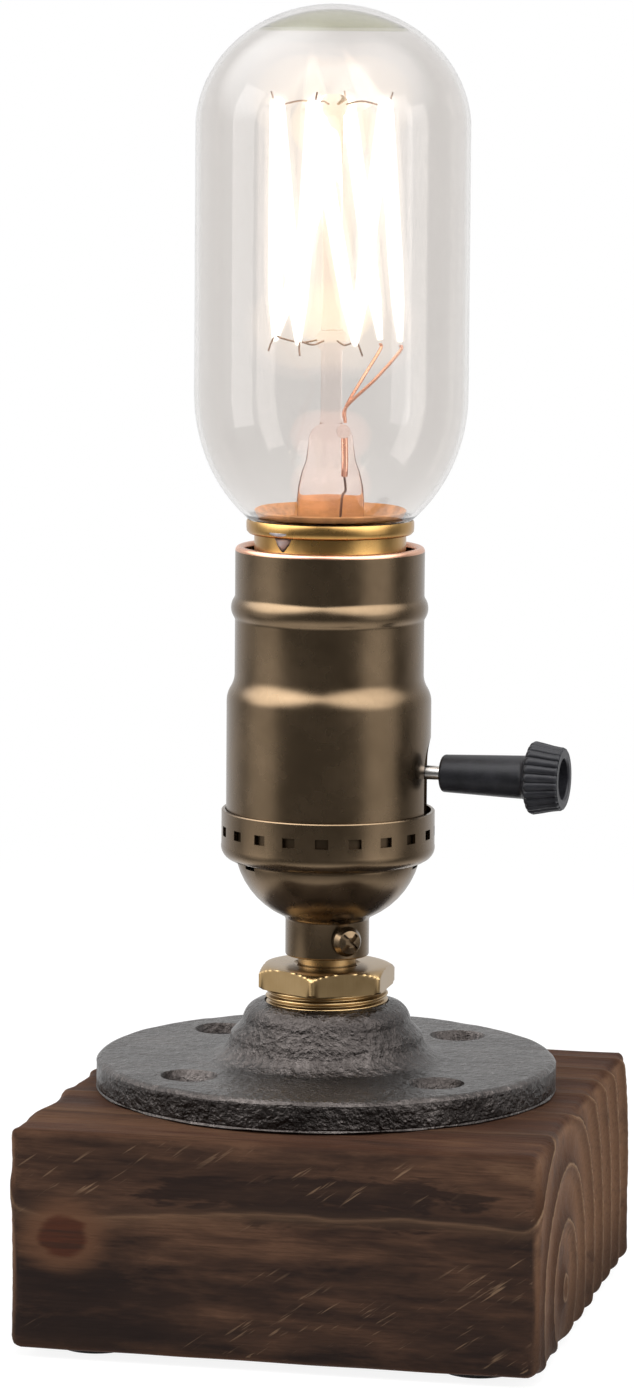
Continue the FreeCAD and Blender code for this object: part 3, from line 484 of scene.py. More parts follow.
def plastic_material(name, colour, rough, depth=0.03, shine=0.2):
    def build(tree):
        skin = cloud(tree, 0.35, 2, 0.5)
        dust = cloud(tree, 3.0, 4, 0.65)
        dusty = tuple(c * 1.9 + 0.004 for c in colour)
        return {"Base_Color": ramp(tree, dust, (0.35, colour), (0.75, dusty)),
                "Roughness": ramp(tree, dust, (0.3, rough), (0.8, min(1.0, rough * 1.35))),
                "Normal": bump(tree, skin, depth)}
    return finish(name, build, Specular_IOR_Level=shine)


def felt_material():
    def build(tree):
        hair = cloud(tree, 0.3, 4, 0.8, (1, 0.25, 1), 0.8)
        return {"Base_Color": ramp(tree, hair, (0.3, (0.006, 0.006, 0.006)), (0.7, (0.03, 0.03, 0.03))),
                "Normal": bump(tree, hair, 0.3)}
    return finish("felt", build, Roughness=0.95, Sheen_Weight=0.4)


def glass_material(name, colour, rough=0.0, ripple=0.004, size=9.0, bend=1.5):
    def build(tree):
        wave = cloud(tree, size, 2, 0.5, (1, 1, 0.5))
        return {"Base_Color": ramp(tree, wave, (0.3, colour), (0.7, tuple(c * 0.985 for c in colour))),
                "Normal": bump(tree, wave, ripple)}
    return finish(name, build, Transmission_Weight=1.0, Roughness=rough, IOR=bend)


def glow_material(name, colour, strength, cover):
    """Light given off by a hot wire; cover is how much of what lies behind it is hidden."""
    material, tree = new_material(name)
    tree.nodes.remove(tree.nodes["Principled BSDF"])
    flicker = cloud(tree, 4, 3, 0.6)
    tint = ramp(tree, flicker, (0.3, colour), (0.7, tuple(min(1.0, c * 1.04) for c in colour)))
    light = add(tree, "Emission", Color=tint, Strength=strength).outputs[0]
    clear = add(tree, "BsdfTransparent").outputs[0]
    both = add(tree, "MixShader", in0=cover, in1=clear, in2=light).outputs[0]
    tree.links.new(both, tree.nodes["Material Output"].inputs["Surface"])
    return material


def halo_material(name, colour, strength):
    """Light with no surface, brighter the further one looks through it; strength is for each metre."""
    material, tree = new_material(name)
    tree.nodes.remove(tree.nodes["Principled BSDF"])
    light = add(tree, "Emission", Color=(*colour, 1), Strength=strength).outputs[0]
    tree.links.new(light, tree.nodes["Material Output"].inputs["Volume"])
    return material


wood = wood_material()
iron = iron_material()
felt = felt_material()
antique = metal_material("antique_brass", (0.120, 0.083, 0.049), (0.165, 0.116, 0.071), 0.27, 0.96)
# painted shade: a darker brass that stands for the shade inside the cap, seen through its windows
painted_shade_brass = metal_material("painted_shade_brass", (0.045, 0.031, 0.019), (0.075, 0.053, 0.033), 0.4)
# painted highlight: the lip's bright copper stands for the filament's warm light on the rim
lip_copper = metal_material("lip_copper", (0.55, 0.29, 0.19), (0.72, 0.42, 0.29), 0.3)
brass = metal_material("yellow_brass", (0.27, 0.178, 0.080), (0.38, 0.268, 0.138), 0.30)
cap_brass = metal_material("cap_brass", (0.33, 0.180, 0.055), (0.47, 0.285, 0.100), 0.27)
steel = metal_material("zinc_steel", (0.42, 0.41, 0.40), (0.60, 0.59, 0.57), 0.3)
solder = metal_material("solder", (0.30, 0.28, 0.30), (0.50, 0.47, 0.48), 0.38, 0.9, 0.04, 0.9, (1, 1, 1))
copper = metal_material("copper_wire", (0.62, 0.30, 0.20), (0.82, 0.46, 0.34), 0.28)
dull_wire = metal_material("support_wire", (0.22, 0.15, 0.12), (0.36, 0.25, 0.20), 0.45)
knob_black = plastic_material("black_plastic", (0.010, 0.010, 0.012), 0.36)
phenolic = plastic_material("phenolic", (0.020, 0.013, 0.010), 0.42)
fibre = plastic_material("fibre", (0.17, 0.11, 0.065), 0.7)
black_glass = plastic_material("black_glass", (0.008, 0.008, 0.010), 0.12, 0.005)
clear_glass = glass_material("clear_glass", (0.812, 0.790, 0.772), bend=1.34)
# painted shade: a greenish grey glass for the darker look of the dome's crown
crown_shade_glass = glass_material("crown_shade_glass", (0.80, 0.81, 0.70), bend=1.02)
stem_glass = glass_material("stem_glass", (0.97, 0.91, 0.885), 0.06, 0.02, 2.5, 1.13)
# partly the cement's own orange brown, partly painted light: its colour is raised for the filament's orange
# glow on it
cement_and_glow = plastic_material("basing_cement_and_glow", (0.60, 0.30, 0.13), 0.55, 0.08)

for node, material in {
    "felt_pads": felt, "clamp_washer": steel, "clamp_nut": steel, "threaded_rod": brass,
    "neck_screw": antique,
    "cap_disc": fibre, "shell_liner": fibre, "switch_body": phenolic, "terminal_screws": brass,
    "shell_rivets": brass, "centre_contact": brass, "switch_shaft": steel, "switch_rotor": phenolic,
    "bulb_insulator": black_glass, "bulb_tip": solder, "top_supports": dull_wire, "foot_supports": dull_wire,
    "screw_shell": brass, "cap_solder": solder,
}.items():
    nodes[node].data.materials.clear()
    nodes[node].data.materials.append(material)


def dress(piece, body, slot, *replaced):
    """Puts a piece on its body and hides the nodes that it stands for; the finish name in slot is not used.
    """
    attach(piece, body)
    if replaced:
        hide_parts(*replaced)
    return piece


# ---------------------------------------------------------------- wood block
CELL = 0.7                # spacing of the block's surface points
EDGE_RADIUS = 2.3
HEART_Y, HEART_Z = -20.0, -8.5            # heart of the tree, from the block's middle
RING_WIDTH, RING_START = 8.6, 2.3
KNOT_X, KNOT_Z, KNOT_RADIUS = -34.2, 0.6, 8.5
SIDE_RELIEF, END_RELIEF = 0.28, 1.15
RECESS_RADIUS, RECESS_DEPTH = 17.0, 17.0
ROD_HOLE_RADIUS = 5.3
CORD_HOLE_RADIUS, CORD_HOLE_HEIGHT = 4.0, 8.0


def ring_number(p):
    """How many growth rings lie between the heart and a point of the block."""
    sway = noise.noise(Vector((p.x * 0.018, p.y * 0.05, p.z * 0.05))) * 0.8
    sway += noise.noise(Vector((p.x * 0.05 + 7, p.y * 0.12, p.z * 0.12))) * 0.35
    sway += noise.noise(Vector((p.x * 0.16, p.y * 0.3, p.z * 0.3 + 5))) * 0.25
    reach = math.hypot(p.y - HEART_Y, p.z - HEART_Z) + sway
    away = math.hypot((p.x - KNOT_X) * 0.8, p.z - KNOT_Z) if p.y < 0 else 99
    reach += 1.2 * math.exp(-(away / 6.0) ** 2)
    return (reach - RING_START) / RING_WIDTH


def wood_block():
    half = block_size / 2
    counts = [max(8, round(s / CELL)) for s in block_size]
    grid = bmesh.new()
    spots = {}

    def corner(key):
        if key not in spots:
            spots[key] = grid.verts.new([-half[i] + block_size[i] * key[i] / counts[i] for i in range(3)])
        return spots[key]

    for axis in range(3):
        u, v = (axis + 1) % 3, (axis + 2) % 3
        for level in (0, counts[axis]):
            for i in range(counts[u]):
                for j in range(counts[v]):
                    keys = []
                    for di, dj in ((0, 0), (1, 0), (1, 1), (0, 1)):
                        key = [0, 0, 0]
                        key[axis], key[u], key[v] = level, i + di, j + dj
                        keys.append(corner(tuple(key)))
                    grid.faces.new(keys)
    for layer in ("ring", "knot", "end_grain", "top_face", "front_face"):
        grid.verts.layers.float.new(layer)
    marks = grid.verts.layers.float
    for vert in grid.verts:
        flat = vert.co.copy()
        radius = EDGE_RADIUS * (1 + 0.5 * noise.noise(flat * 0.07))
        core = Vector([max(-half[i] + radius, min(half[i] - radius, flat[i])) for i in range(3)])
        out = (flat - core).normalized() if (flat - core).length > 1e-6 else Vector((0, 0, 1))
        p = core + out * radius
        number = ring_number(p)
        knot_away = math.hypot((p.x - KNOT_X) * 0.85, p.z - KNOT_Z) / KNOT_RADIUS if out.y < -0.7 else 9
        crest = (0.5 + 0.5 * math.cos(math.tau * number)) ** 3
        small = 0.5 + 0.5 * noise.noise(Vector((p.x * 0.07, p.y * 0.9, p.z * 0.9)))
        facing = Vector((abs(out.x), abs(out.y), abs(out.z)))
        back = clip((p.y + 38) / 45)
        depth = SIDE_RELIEF * max(facing.y, facing.z) + END_RELIEF * facing.x * (0.3 + 0.7 * back)
        p -= out * (depth * (1 - crest) + 0.14 * small)
        vert[marks["ring"]] = number
        vert[marks["knot"]] = clip(1.0 - knot_away)
        for layer, toward in (("end_grain", facing.x), ("top_face", facing.z), ("front_face", -out.y)):
            vert[marks[layer]] = clip((toward - 0.45) * 3)
        vert.co = (p + block_middle) * MM
    mesh = bpy.data.meshes.new("charred_block")
    bmesh.ops.recalc_face_normals(grid, faces=grid.faces)
    grid.to_mesh(mesh)
    grid.free()
    mesh.materials.append(wood)
    block = put("charred_block", mesh)
    foot = -block_size.z
    cord_hole = upright(foot + CORD_HOLE_HEIGHT)
    carve(block,
          rod_cutter(upright(foot - 1), upright(1), ROD_HOLE_RADIUS),
          rod_cutter(upright(foot - 1), upright(foot + RECESS_DEPTH), RECESS_RADIUS, 96),
          rod_cutter(cord_hole, cord_hole + Vector((0, block_size.y, 0)), CORD_HOLE_RADIUS),
          smooth_below=50)
    return dress(block, ROOT, "charred_wood", "wood_block")


# ---------------------------------------------------------------- cast flange
FLANGE_THICKNESS, FLANGE_BORE = 5.3, 10.35
HUB_RADIUS, HUB_TOP_RADIUS = 16.0, 14.0
SCREW_CIRCLE, FIRST_SCREW = 28.5, 51.0
SCREW_HOLE_RADIUS, SINK_RADIUS, SINK_DEPTH = 2.8, 4.9, 2.6


def cast_flange():
    radius, top = flange_size.x / 2, flange_size.z
    thick, bore, hub = FLANGE_THICKNESS, FLANGE_BORE, HUB_TOP_RADIUS
    points = outline((bore, 0), (radius - 0.7, 0), (radius - 0.2, 0.2, radius, 0.7), (radius, thick - 1.4),
                     (radius - 0.4, thick - 0.4, radius - 1.4, thick), (radius - 8, thick), (24, thick),
                     (20, thick), (17.2, thick + 1.2, HUB_RADIUS - 0.1, thick + 4), (hub, top - 3.2),
                     (hub - 1.0, top - 0.95, hub - 3.2, top), (bore, top), (bore, top / 2))

    def cast(r, z, angle):
        if r < bore + 0.01 or z < 0.01:
            return r, z
        spot = Vector((r * math.cos(angle), r * math.sin(angle), z))
        sag = 0.16 * noise.noise(spot * 0.16) + 0.035 * noise.noise(spot * 0.5) - 0.20
        return (r + sag, z) if r > radius - 0.1 else (r, z + sag)

    flange = lathe("cast_flange", points, iron, 280, cast)
    drills = []
    for i in range(4):
        low, sink, high = (polar(SCREW_CIRCLE, FIRST_SCREW + 90 * i, z)
                           for z in (-1, thick - SINK_DEPTH, thick + 1))
        drills.append(rod_cutter(low, high, SCREW_HOLE_RADIUS))
        drills.append(rod_cutter(sink, high, SCREW_HOLE_RADIUS, end_radius=SINK_RADIUS + 0.8))
    carve(flange, *drills)
    return dress(flange, ROOT, "raw_cast_iron", "pipe_flange")


# ---------------------------------------------------------------- bushing and rod
HEX_BASE, HEX_TOP = 16.6, 20.7
HEX_FLAT = 10.25          # half the hexagon's width across its flats
HEX_REACH = HEX_FLAT / math.cos(math.pi / 6)
BUSHING_PITCH, BUSHING_CREST, BUSHING_ROOT, BUSHING_FOOT = 1.05, 10.2, 9.55, 6.0
ROD_BORE = 4.95           # round the hollow rod, in the bushing and in the cap's neck


def threaded_tube(name, crest, root, bore, low, high, pitch, material, around=96, rows_per_turn=12):
    """A tube with a rounded screw thread outside that fades out at both ends."""
    rows = max(8, round((high - low) / pitch * rows_per_turn))
    heights = [low + (high - low) * i / rows for i in range(rows + 1)]
    middle, swing = (crest + root) / 2, (crest - root) / 2

    def shape(r, z, angle):
        if r < middle:
            return r, z
        fade = min(1.0, (z - low) / pitch * 1.5, (high - z) / pitch * 1.5)
        wave = math.cos(math.tau * (z / pitch - angle / math.tau))
        return middle + swing * wave * fade, z

    points = [(middle, z) for z in heights] + [(bore, high), (bore, low)]
    return lathe(name, points, material, around, shape, smooth_below=60)


def bushing():
    tube = threaded_tube("bushing_thread", BUSHING_CREST, BUSHING_ROOT, ROD_BORE, BUSHING_FOOT,
                         HEX_BASE + 0.3, BUSHING_PITCH, brass)
    dress(tube, ROOT, "yellow_brass", "hex_bushing")
    crown = 1.3

    def hex_limit(angle):
        """Distance to the hexagon's side; a corner points to the front."""
        off = (math.degrees(angle) + 90) % 60 - 30
        return HEX_FLAT / math.cos(math.radians(off))

    def hexed(r, z, angle):
        return (min(r, hex_limit(angle)), z) if r > 5.5 else (r, z)

    points = outline((ROD_BORE, HEX_BASE), (9.6, HEX_BASE), (HEX_REACH - 0.5, HEX_BASE + 0.25),
                     (HEX_REACH, HEX_BASE + 0.6), (HEX_REACH, HEX_TOP - crown),
                     (HEX_REACH - 0.7, HEX_TOP - 0.62, HEX_REACH - 1.9, HEX_TOP - 0.1), (9.0, HEX_TOP),
                     (5.6, HEX_TOP), (ROD_BORE, HEX_TOP - 0.4))
    head = lathe("bushing_hex", points, brass, 240, hexed, smooth_below=25)
    return dress(head, ROOT, "yellow_brass")


# ---------------------------------------------------------------- socket
CAP_WALL = 0.6
NECK_RADIUS, NECK_HEIGHT = 6.95, 6.6
DOME_RADIUS, DOME_HEIGHT = 15.05, 9.3
BAND_FLARE_HEIGHT = 2.9
GROOVE_STEP = 0.45
WINDOWS, FIRST_WINDOW = 20, -81.0
WINDOW_WIDTH, WINDOW_HEIGHT, WINDOW_BELOW_RIM = 2.15, 1.6, 3.3
NECK_SCREW_ANGLE = -52.0
SLITS = (-136.2, -4.0)                     # open slits in the groove


def cap_outline(inset):
    neck_top = NECK_BASE + NECK_HEIGHT
    seam = neck_top + DOME_HEIGHT
    band_foot = seam + BAND_FLARE_HEIGHT
    band = cap_size.x / 2 - inset
    dome = DOME_RADIUS - inset
    flare = dome + GROOVE_STEP
    middle = (NECK_RADIUS + dome) / 2 + 1.15
    return outline((NECK_RADIUS - inset, neck_top - 0.6 + 1.5 * inset),
                   (NECK_RADIUS + 0.25 - inset, neck_top - 0.15 + 1.3 * inset,
                    NECK_RADIUS + 0.9 - inset, neck_top + 0.25 + inset),
                   (middle, (neck_top + seam) / 2 - 1.15 + 0.5 * inset,
                    dome, seam - GROOVE_STEP + 0.3 * inset),
                   (dome, seam - 0.12), (flare, seam + 0.12),
                   (flare + 0.82 * (band - flare), seam + 0.36 * BAND_FLARE_HEIGHT, band, band_foot),
                   (band, RIM - 0.15), (band - 0.15 + inset * 0.25, RIM))


def pierced_cap():
    inner = cap_outline(CAP_WALL)[::-1]
    points = cap_outline(0) + inner + [(ROD_BORE, inner[-1][1]), (ROD_BORE, NECK_BASE)]
    points += outline((NECK_RADIUS - 0.35, NECK_BASE),
                      (NECK_RADIUS - 0.1, NECK_BASE + 0.1, NECK_RADIUS, NECK_BASE + 0.35))
    cap = lathe("pierced_cap", points, antique, 240, smooth_below=35)
    band = cap_size.x / 2
    middle = RIM - WINDOW_BELOW_RIM
    cutters = [block_cutter((band - 2, -WINDOW_WIDTH / 2, middle - WINDOW_HEIGHT / 2),
                            (band + 2, WINDOW_WIDTH / 2, middle + WINDOW_HEIGHT / 2),
                            FIRST_WINDOW + 360 * i / WINDOWS) for i in range(WINDOWS)]
    seam = NECK_BASE + NECK_HEIGHT + DOME_HEIGHT
    cutters += [block_cutter((DOME_RADIUS - 1.4, -1.4, seam - 0.7), (DOME_RADIUS + 2, 1.4, seam + 0.6), a)
                for a in SLITS]
    screw = [polar(r, NECK_SCREW_ANGLE, NECK_BASE + NECK_HEIGHT / 2) for r in (3, 9)]
    cutters.append(rod_cutter(*screw, 1.5))
    carve(cap, *cutters, smooth_below=35)
    return dress(cap, ROOT, "antique_brass", "socket_cap")


SHELL_WALL = 0.5
SHELL_LOWER_HEIGHT, SHELL_STEP_HEIGHT, STEP_EASE = 24.6, 2.4, 1.0
SHELL_UPPER_RADIUS = 15.6
BEAD_HEIGHT, BEAD_WIDTH, BEAD_PROUD = 39.0, 3.4, 0.65
LIP_RADIUS = 0.75
PAINTED_SHADE_TOP = RIM - 0.8    # below it the shell is a dark brass of painted shade, seen through the cap's windows
KEY_ANGLE = -4.6
KEY_HEIGHT, KEY_SLOT_WIDTH, KEY_SLOT_ABOVE = 12.4, 10.3, 5.3
SLOT_ANGLE = 8.7          # the slot is not centred on the shaft, which leaves by its front edge


def shell_outline(inset):
    low = shell_size.x / 2 - inset
    high = SHELL_UPPER_RADIUS - inset
    step = SHELL_FOOT + SHELL_LOWER_HEIGHT
    step_top = step + SHELL_STEP_HEIGHT
    half = (low - high) / 2
    step_middle = (step + step_top) / 2
    rise = SHELL_STEP_HEIGHT / 2 + STEP_EASE
    bead = SHELL_FOOT + BEAD_HEIGHT
    lip = LIP_RADIUS - inset
    lip_x, lip_z = SHELL_UPPER_RADIUS - LIP_RADIUS, MOUTH - LIP_RADIUS
    slant = lip * 0.7071                  # 45 degrees round the lip
    flat = BEAD_WIDTH / 2
    return outline((low, SHELL_FOOT), (low, step - STEP_EASE),
                   (low - 0.27 * half, step_middle - 0.48 * rise, low - half, step_middle),
                   (high + 0.27 * half, step_middle + 0.48 * rise, high, step_top + STEP_EASE),
                   (high, bead - flat - 0.5),
                   (high + 0.06, bead - flat - 0.1, high + 0.18, bead - flat + 0.15),
                   (high + BEAD_PROUD, bead, high + 0.18, bead + flat - 0.15),
                   (high + 0.06, bead + flat + 0.1, high, bead + flat + 0.5),
                   (high, lip_z - 0.9), (lip_x + lip, lip_z),
                   (lip_x + slant, lip_z + slant, lip_x, lip_z + lip),
                   (lip_x - slant, lip_z + slant, lip_x - lip, lip_z))


def key_slot():
    key = SHELL_FOOT + KEY_HEIGHT
    half = KEY_SLOT_WIDTH / 2
    top = key + KEY_SLOT_ABOVE - half
    reach = shell_size.x / 2 + 3
    post = block_cutter((4, -half, SHELL_FOOT - 1), (reach, half, top), SLOT_ANGLE)
    arch = rod_cutter(polar(4, SLOT_ANGLE, top), polar(reach, SLOT_ANGLE, top), half, 64)
    return post, arch


def spun_shell():
    outer, inner = shell_outline(0), shell_outline(SHELL_WALL)[::-1]
    outer.insert(1, (outer[0][0], PAINTED_SHADE_TOP))
    shell = lathe("spun_shell", outer + inner, antique, 240, smooth_below=35)
    shell.data.materials.append(lip_copper)
    shell.data.materials.append(painted_shade_brass)
    for face in shell.data.polygons:
        height = face.center.z / MM - SEAT
        # faces at the lip get the bright copper of the painted highlight
        if height > MOUTH - LIP_RADIUS - 0.25:
            face.material_index = 1
        # below this height the faces get the dark brass of the painted shade behind the windows
        elif height < PAINTED_SHADE_TOP:
            face.material_index = 2
    carve(shell, *key_slot(), smooth_below=35)
    return dress(shell, ROOT, "antique_brass", "socket_shell")


# ---------------------------------------------------------------- knob
KNOB_START, KNOB_NECK, KNOB_END = 19.6, 34.1, 40.2
KNOB_BORE = 1.3
FLUTES, FLUTE_DEPTH = 24, 0.34


def along_key(x, y, z):
    """The knob is drawn upright about the shaft's axis and laid along it."""
    angle = math.radians(KEY_ANGLE)
    cos, sin = math.cos(angle), math.sin(angle)
    return lamp_point(z * cos - y * sin, z * sin + y * cos, SHELL_FOOT + KEY_HEIGHT - x)


def knob():
    foot, neck, end, bore = KNOB_START, KNOB_NECK, KNOB_END, KNOB_BORE
    points = outline((bore, foot), (2.5, foot), (2.93, foot + 0.17, 3.1, foot + 0.6), (3.22, foot + 4),
                     (3.4, foot + 9), (3.55, neck - 0.9), (3.75, neck - 0.3, 4.2, neck), (5.3, neck + 0.45),
                     (5.85, neck + 0.75, 6.0, neck + 1.3), (5.75, neck + 2.6), (5.4, neck + 4.2),
                     (5.2, end - 0.6), (5.05, end - 0.12, 4.6, end), (3.9, end),
                     (3.5, end - 0.1, 3.4, end - 0.5), (3.1, end - 3.8), (bore, end - 3.8))

    def fluted(r, z, angle):
        if z < neck + 0.3 or r < 4.9:
            return r, z
        wave = abs(math.sin(angle * FLUTES / 2)) ** 0.6
        return r - FLUTE_DEPTH * (1 - wave), z

    head = lathe("turn_knob_dressed", points, knob_black, 288, fluted, along_key, 45)
    return dress(head, KEY, "black_plastic", "turn_knob")


# ---------------------------------------------------------------- bulb
SCREW_CAP_LENGTH = 25.2
BULB_LENGTH = 110.8
DOME_RISE, SHOULDER_DROP, SHOULDER_ABOVE_CAP = 20.3, 25.7, 22.2
GLASS_WALL = 0.7
TIP_RADIUS = 12.3
THREAD_PITCH, THREAD_RADIUS, THREAD_SWING = 3.629, 12.7, 0.42
THREAD_FOOT, THREAD_TOP = 7.0, 20.6
SOLDER_ANGLE = -115.6
GLASS_SEAT = SCREW_CAP_LENGTH + 0.05
GLASS_NECK, NECK_FOOT = 11.8, 15.2        # the glass's neck inside the screw cap


def bulb_place(x, y, z):
    return lamp_point(x, y, z + BULB_TIP)


def bulb_ring(name, points, material, slot, *replaced):
    """A turned piece of the bulb."""
    return dress(lathe(name, points, material, place=bulb_place), BULB, slot, *replaced)


def glass_outline(inset, tip=0.0):
    """From the glass's foot over the dome to the axis; tip thickens the middle of the dome inside."""
    radius = glass_size.x / 2 - inset
    shoulder = SCREW_CAP_LENGTH + SHOULDER_ABOVE_CAP
    drop = SHOULDER_DROP - inset
    foot = math.degrees(math.asin((SHOULDER_ABOVE_CAP - 1.6 - inset) / drop))
    low = [math.radians(-foot + foot * i / 22) for i in range(23)]
    high = [math.radians(90 * i / 24) for i in range(1, 25)]
    points = [(radius * math.cos(a), shoulder + drop * math.sin(a)) for a in low]
    crown = BULB_LENGTH - DOME_RISE
    for a in high:
        thick = tip * max(0.0, (math.sin(a) - 0.86) / 0.14) ** 0.5
        points.append((max(0.0, radius * math.cos(a)), crown + (DOME_RISE - inset - thick) * math.sin(a)))
    points[-1] = (0.0, points[-1][1])
    return points


def envelope():
    seat, neck, bore = GLASS_SEAT, GLASS_NECK, GLASS_NECK - GLASS_WALL
    inner = glass_outline(GLASS_WALL, 0.05)[::-1]
    foot = outline(inner[-1], (11.3, seat + 0.6, bore, seat - 1.2), (bore, NECK_FOOT), (neck, NECK_FOOT),
                   (neck, seat), (13.2, seat), (13.45, seat + 0.5, 13.35, seat + 1.1))
    points = glass_outline(0) + inner + foot[1:]
    return bulb_ring("envelope", points, clear_glass, "clear_glass", "bulb_glass")


def crown_shade_film():
    """A greenish grey film inside the dome's crown: painted shade for the crown that the glass's inner
    reflections darken.
    """
    crown = BULB_LENGTH - DOME_RISE
    inner = [(r, z) for r, z in glass_outline(GLASS_WALL + 0.06) if z > crown and r < TIP_RADIUS]
    points = inner + [(r, z - 0.12) for r, z in inner[::-1]]
    return bulb_ring("crown_shade_film", points, crown_shade_glass, "clear_glass")


def rolled_thread():
    """The screw cap's thread of round crests and roots, as thin sheet."""
    rows = round((THREAD_TOP - THREAD_FOOT) / THREAD_PITCH * 16)
    heights = [THREAD_FOOT + (THREAD_TOP - THREAD_FOOT) * i / rows for i in range(rows + 1)]

    def shape(r, z, angle):
        fade = min(1.0, (z - THREAD_FOOT) / 1.8, (THREAD_TOP - z) / 1.8)
        wave = math.cos(math.tau * (z / THREAD_PITCH - angle / math.tau))
        return r + THREAD_SWING * wave * fade, z

    points = [(THREAD_RADIUS, z) for z in heights] + [(THREAD_RADIUS - 0.35, z) for z in heights[::-1]]
    return lathe("cap_thread", points, cap_brass, 120, shape, bulb_place, 60)


def solder_drop():
    """A dull, uneven drop run down the cap's edge, narrowing to a tip."""
    rows, around = 14, 20
    vertices, faces = [], []
    for i in range(rows + 1):
        t = i / rows
        half = 2.3 * (1 - t) ** 0.7 * min(1.0, 5 * t + 0.75)
        for k in range(around):
            angle = math.tau * k / around
            lump = 1 + 0.22 * noise.noise(Vector((3 * t, math.cos(angle), math.sin(angle) + 4)))
            belly = 0.7 * max(0.0, math.cos(angle)) * lump * (1 - t) ** 0.5 * min(1.0, 6 * t + 0.3)
            proud = 12.45 + 1.25 * max(0.0, 1 - 3.2 * t) + belly
            turn = math.radians(SOLDER_ANGLE) + half * lump * math.sin(angle) / 12.5
            height = SCREW_CAP_LENGTH + 0.25 - 3.3 * t
            vertices.append(bulb_place(proud * math.cos(turn), proud * math.sin(turn), height))
    for i in range(rows):
        for k in range(around):
            m = (k + 1) % around
            faces.append([i * around + k, i * around + m, (i + 1) * around + m, (i + 1) * around + k])
    faces += [list(range(around)), list(range(rows * around, (rows + 1) * around))]
    return dress(new_object("solder_drop", vertices, faces, solder, 60), BULB, "solder", "cap_solder")


def screw_cap():
    dress(rolled_thread(), BULB, "cap_brass", "bulb_cap")
    top, seat = SCREW_CAP_LENGTH, GLASS_SEAT
    collar = outline((12.7, 20.5), (12.62, 20.9, 12.5, 21.2), (12.5, top - 0.75),
                     (12.62, top - 0.5, 12.5, top - 0.25), (12.45, top), (12.1, top), (12.1, 20.5))
    bulb_ring("cap_collar", collar, cap_brass, "cap_brass")
    foot = outline((9.5, 4.35), (11.6, 5.0, 12.7, 7.1), (12.35, 7.1), (11.3, 5.4, 9.5, 4.8))
    bulb_ring("cap_foot", foot, cap_brass, "cap_brass")
    rolled_edge = outline((12.4, seat - 0.75), (13.4, seat - 0.7), (13.75, seat - 0.3), (13.8, seat + 0.3),
                          (13.8, seat + 1.2), (13.6, seat + 1.6), (13.45, seat + 1.5), (13.5, seat + 0.2),
                          (13.2, seat - 0.3), (12.4, seat - 0.4))
    bulb_ring("cap_rim", rolled_edge, cap_brass, "cap_brass")


STEM_TUBE, STEM_WIDE = 5.5, 11.0
FLARE_TOP, PINCH_TOP, ROD_TOP = 35.0, 42.0, 95.6
CAGE_TOP, CAGE_FOOT = 94.6, 56.2
PINCH_ANGLE = 12.4        # the pinch's flat side faces the camera


def glass_stem():
    """Flare, tube, pressed pinch and rod with its two buttons, all one piece of glass."""
    bulge, button, rod = STEM_TUBE - 0.4, 2.4, 1.6
    points = outline((0, NECK_FOOT), (STEM_WIDE, NECK_FOOT), (7.6, 19, STEM_TUBE, 25),
                     (STEM_TUBE, FLARE_TOP - 7), (bulge, FLARE_TOP - 1.5, 4.1, FLARE_TOP + 1.5),
                     (3.7, PINCH_TOP - 2.5), (3.3, PINCH_TOP - 0.8, 1.9, PINCH_TOP + 0.5),
                     (1.75, PINCH_TOP + 2.4), (1.75, CAGE_FOOT - 1.6),
                     (2.3, CAGE_FOOT - 1.1, button, CAGE_FOOT),
                     (2.3, CAGE_FOOT + 1.1, 1.75, CAGE_FOOT + 1.6),
                     (rod, CAGE_FOOT + 6), (rod, CAGE_TOP - 2),
                     (2.2, CAGE_TOP - 1, button, CAGE_TOP), (2.1, CAGE_TOP + 1.0, 0, ROD_TOP + 0.2))

    def pinched(r, z, angle):
        """The pinch is pressed flat across the camera's line of sight."""
        turned = angle - math.radians(PINCH_ANGLE)
        flat = clip((PINCH_TOP + 0.5 - z) / 2.5, (z - FLARE_TOP + 6.0) / 8.0)
        return r / math.hypot(math.cos(turned), math.sin(turned) * (1 + 1.1 * flat)), z

    stem = lathe("stem_glass", points, stem_glass, 72, pinched, bulb_place)
    dress(stem, BULB, "stem_glass", "bulb_stem")
    ring = outline((10.9, 24.4), (10.9, 25.2), (11.6, 26.2), (12.1, 27.4), (12.55, 28.3),
                   (12.2, 28.5), (11.6, 27.7), (10.6, 26.3), (10.2, 25.2), (10.2, 24.4))
    # the cement ring's colour holds painted orange glow
    bulb_ring("basing_cement_and_glow", ring, cement_and_glow, "cap_brass")
    spot = polar(2.5, PINCH_ANGLE, PINCH_TOP - 0.6)

    def on_stem(x, y, z):
        return bulb_place(x + spot.x, y + spot.y - 2.2, z + spot.z)

    points = outline((0, -1.15), (0.85, -0.8, 1.15, 0), (0.8, 0.85, 0, 1.15))
    return dress(lathe("stem_bead", points, stem_glass, 32, place=on_stem), BULB, "stem_glass")


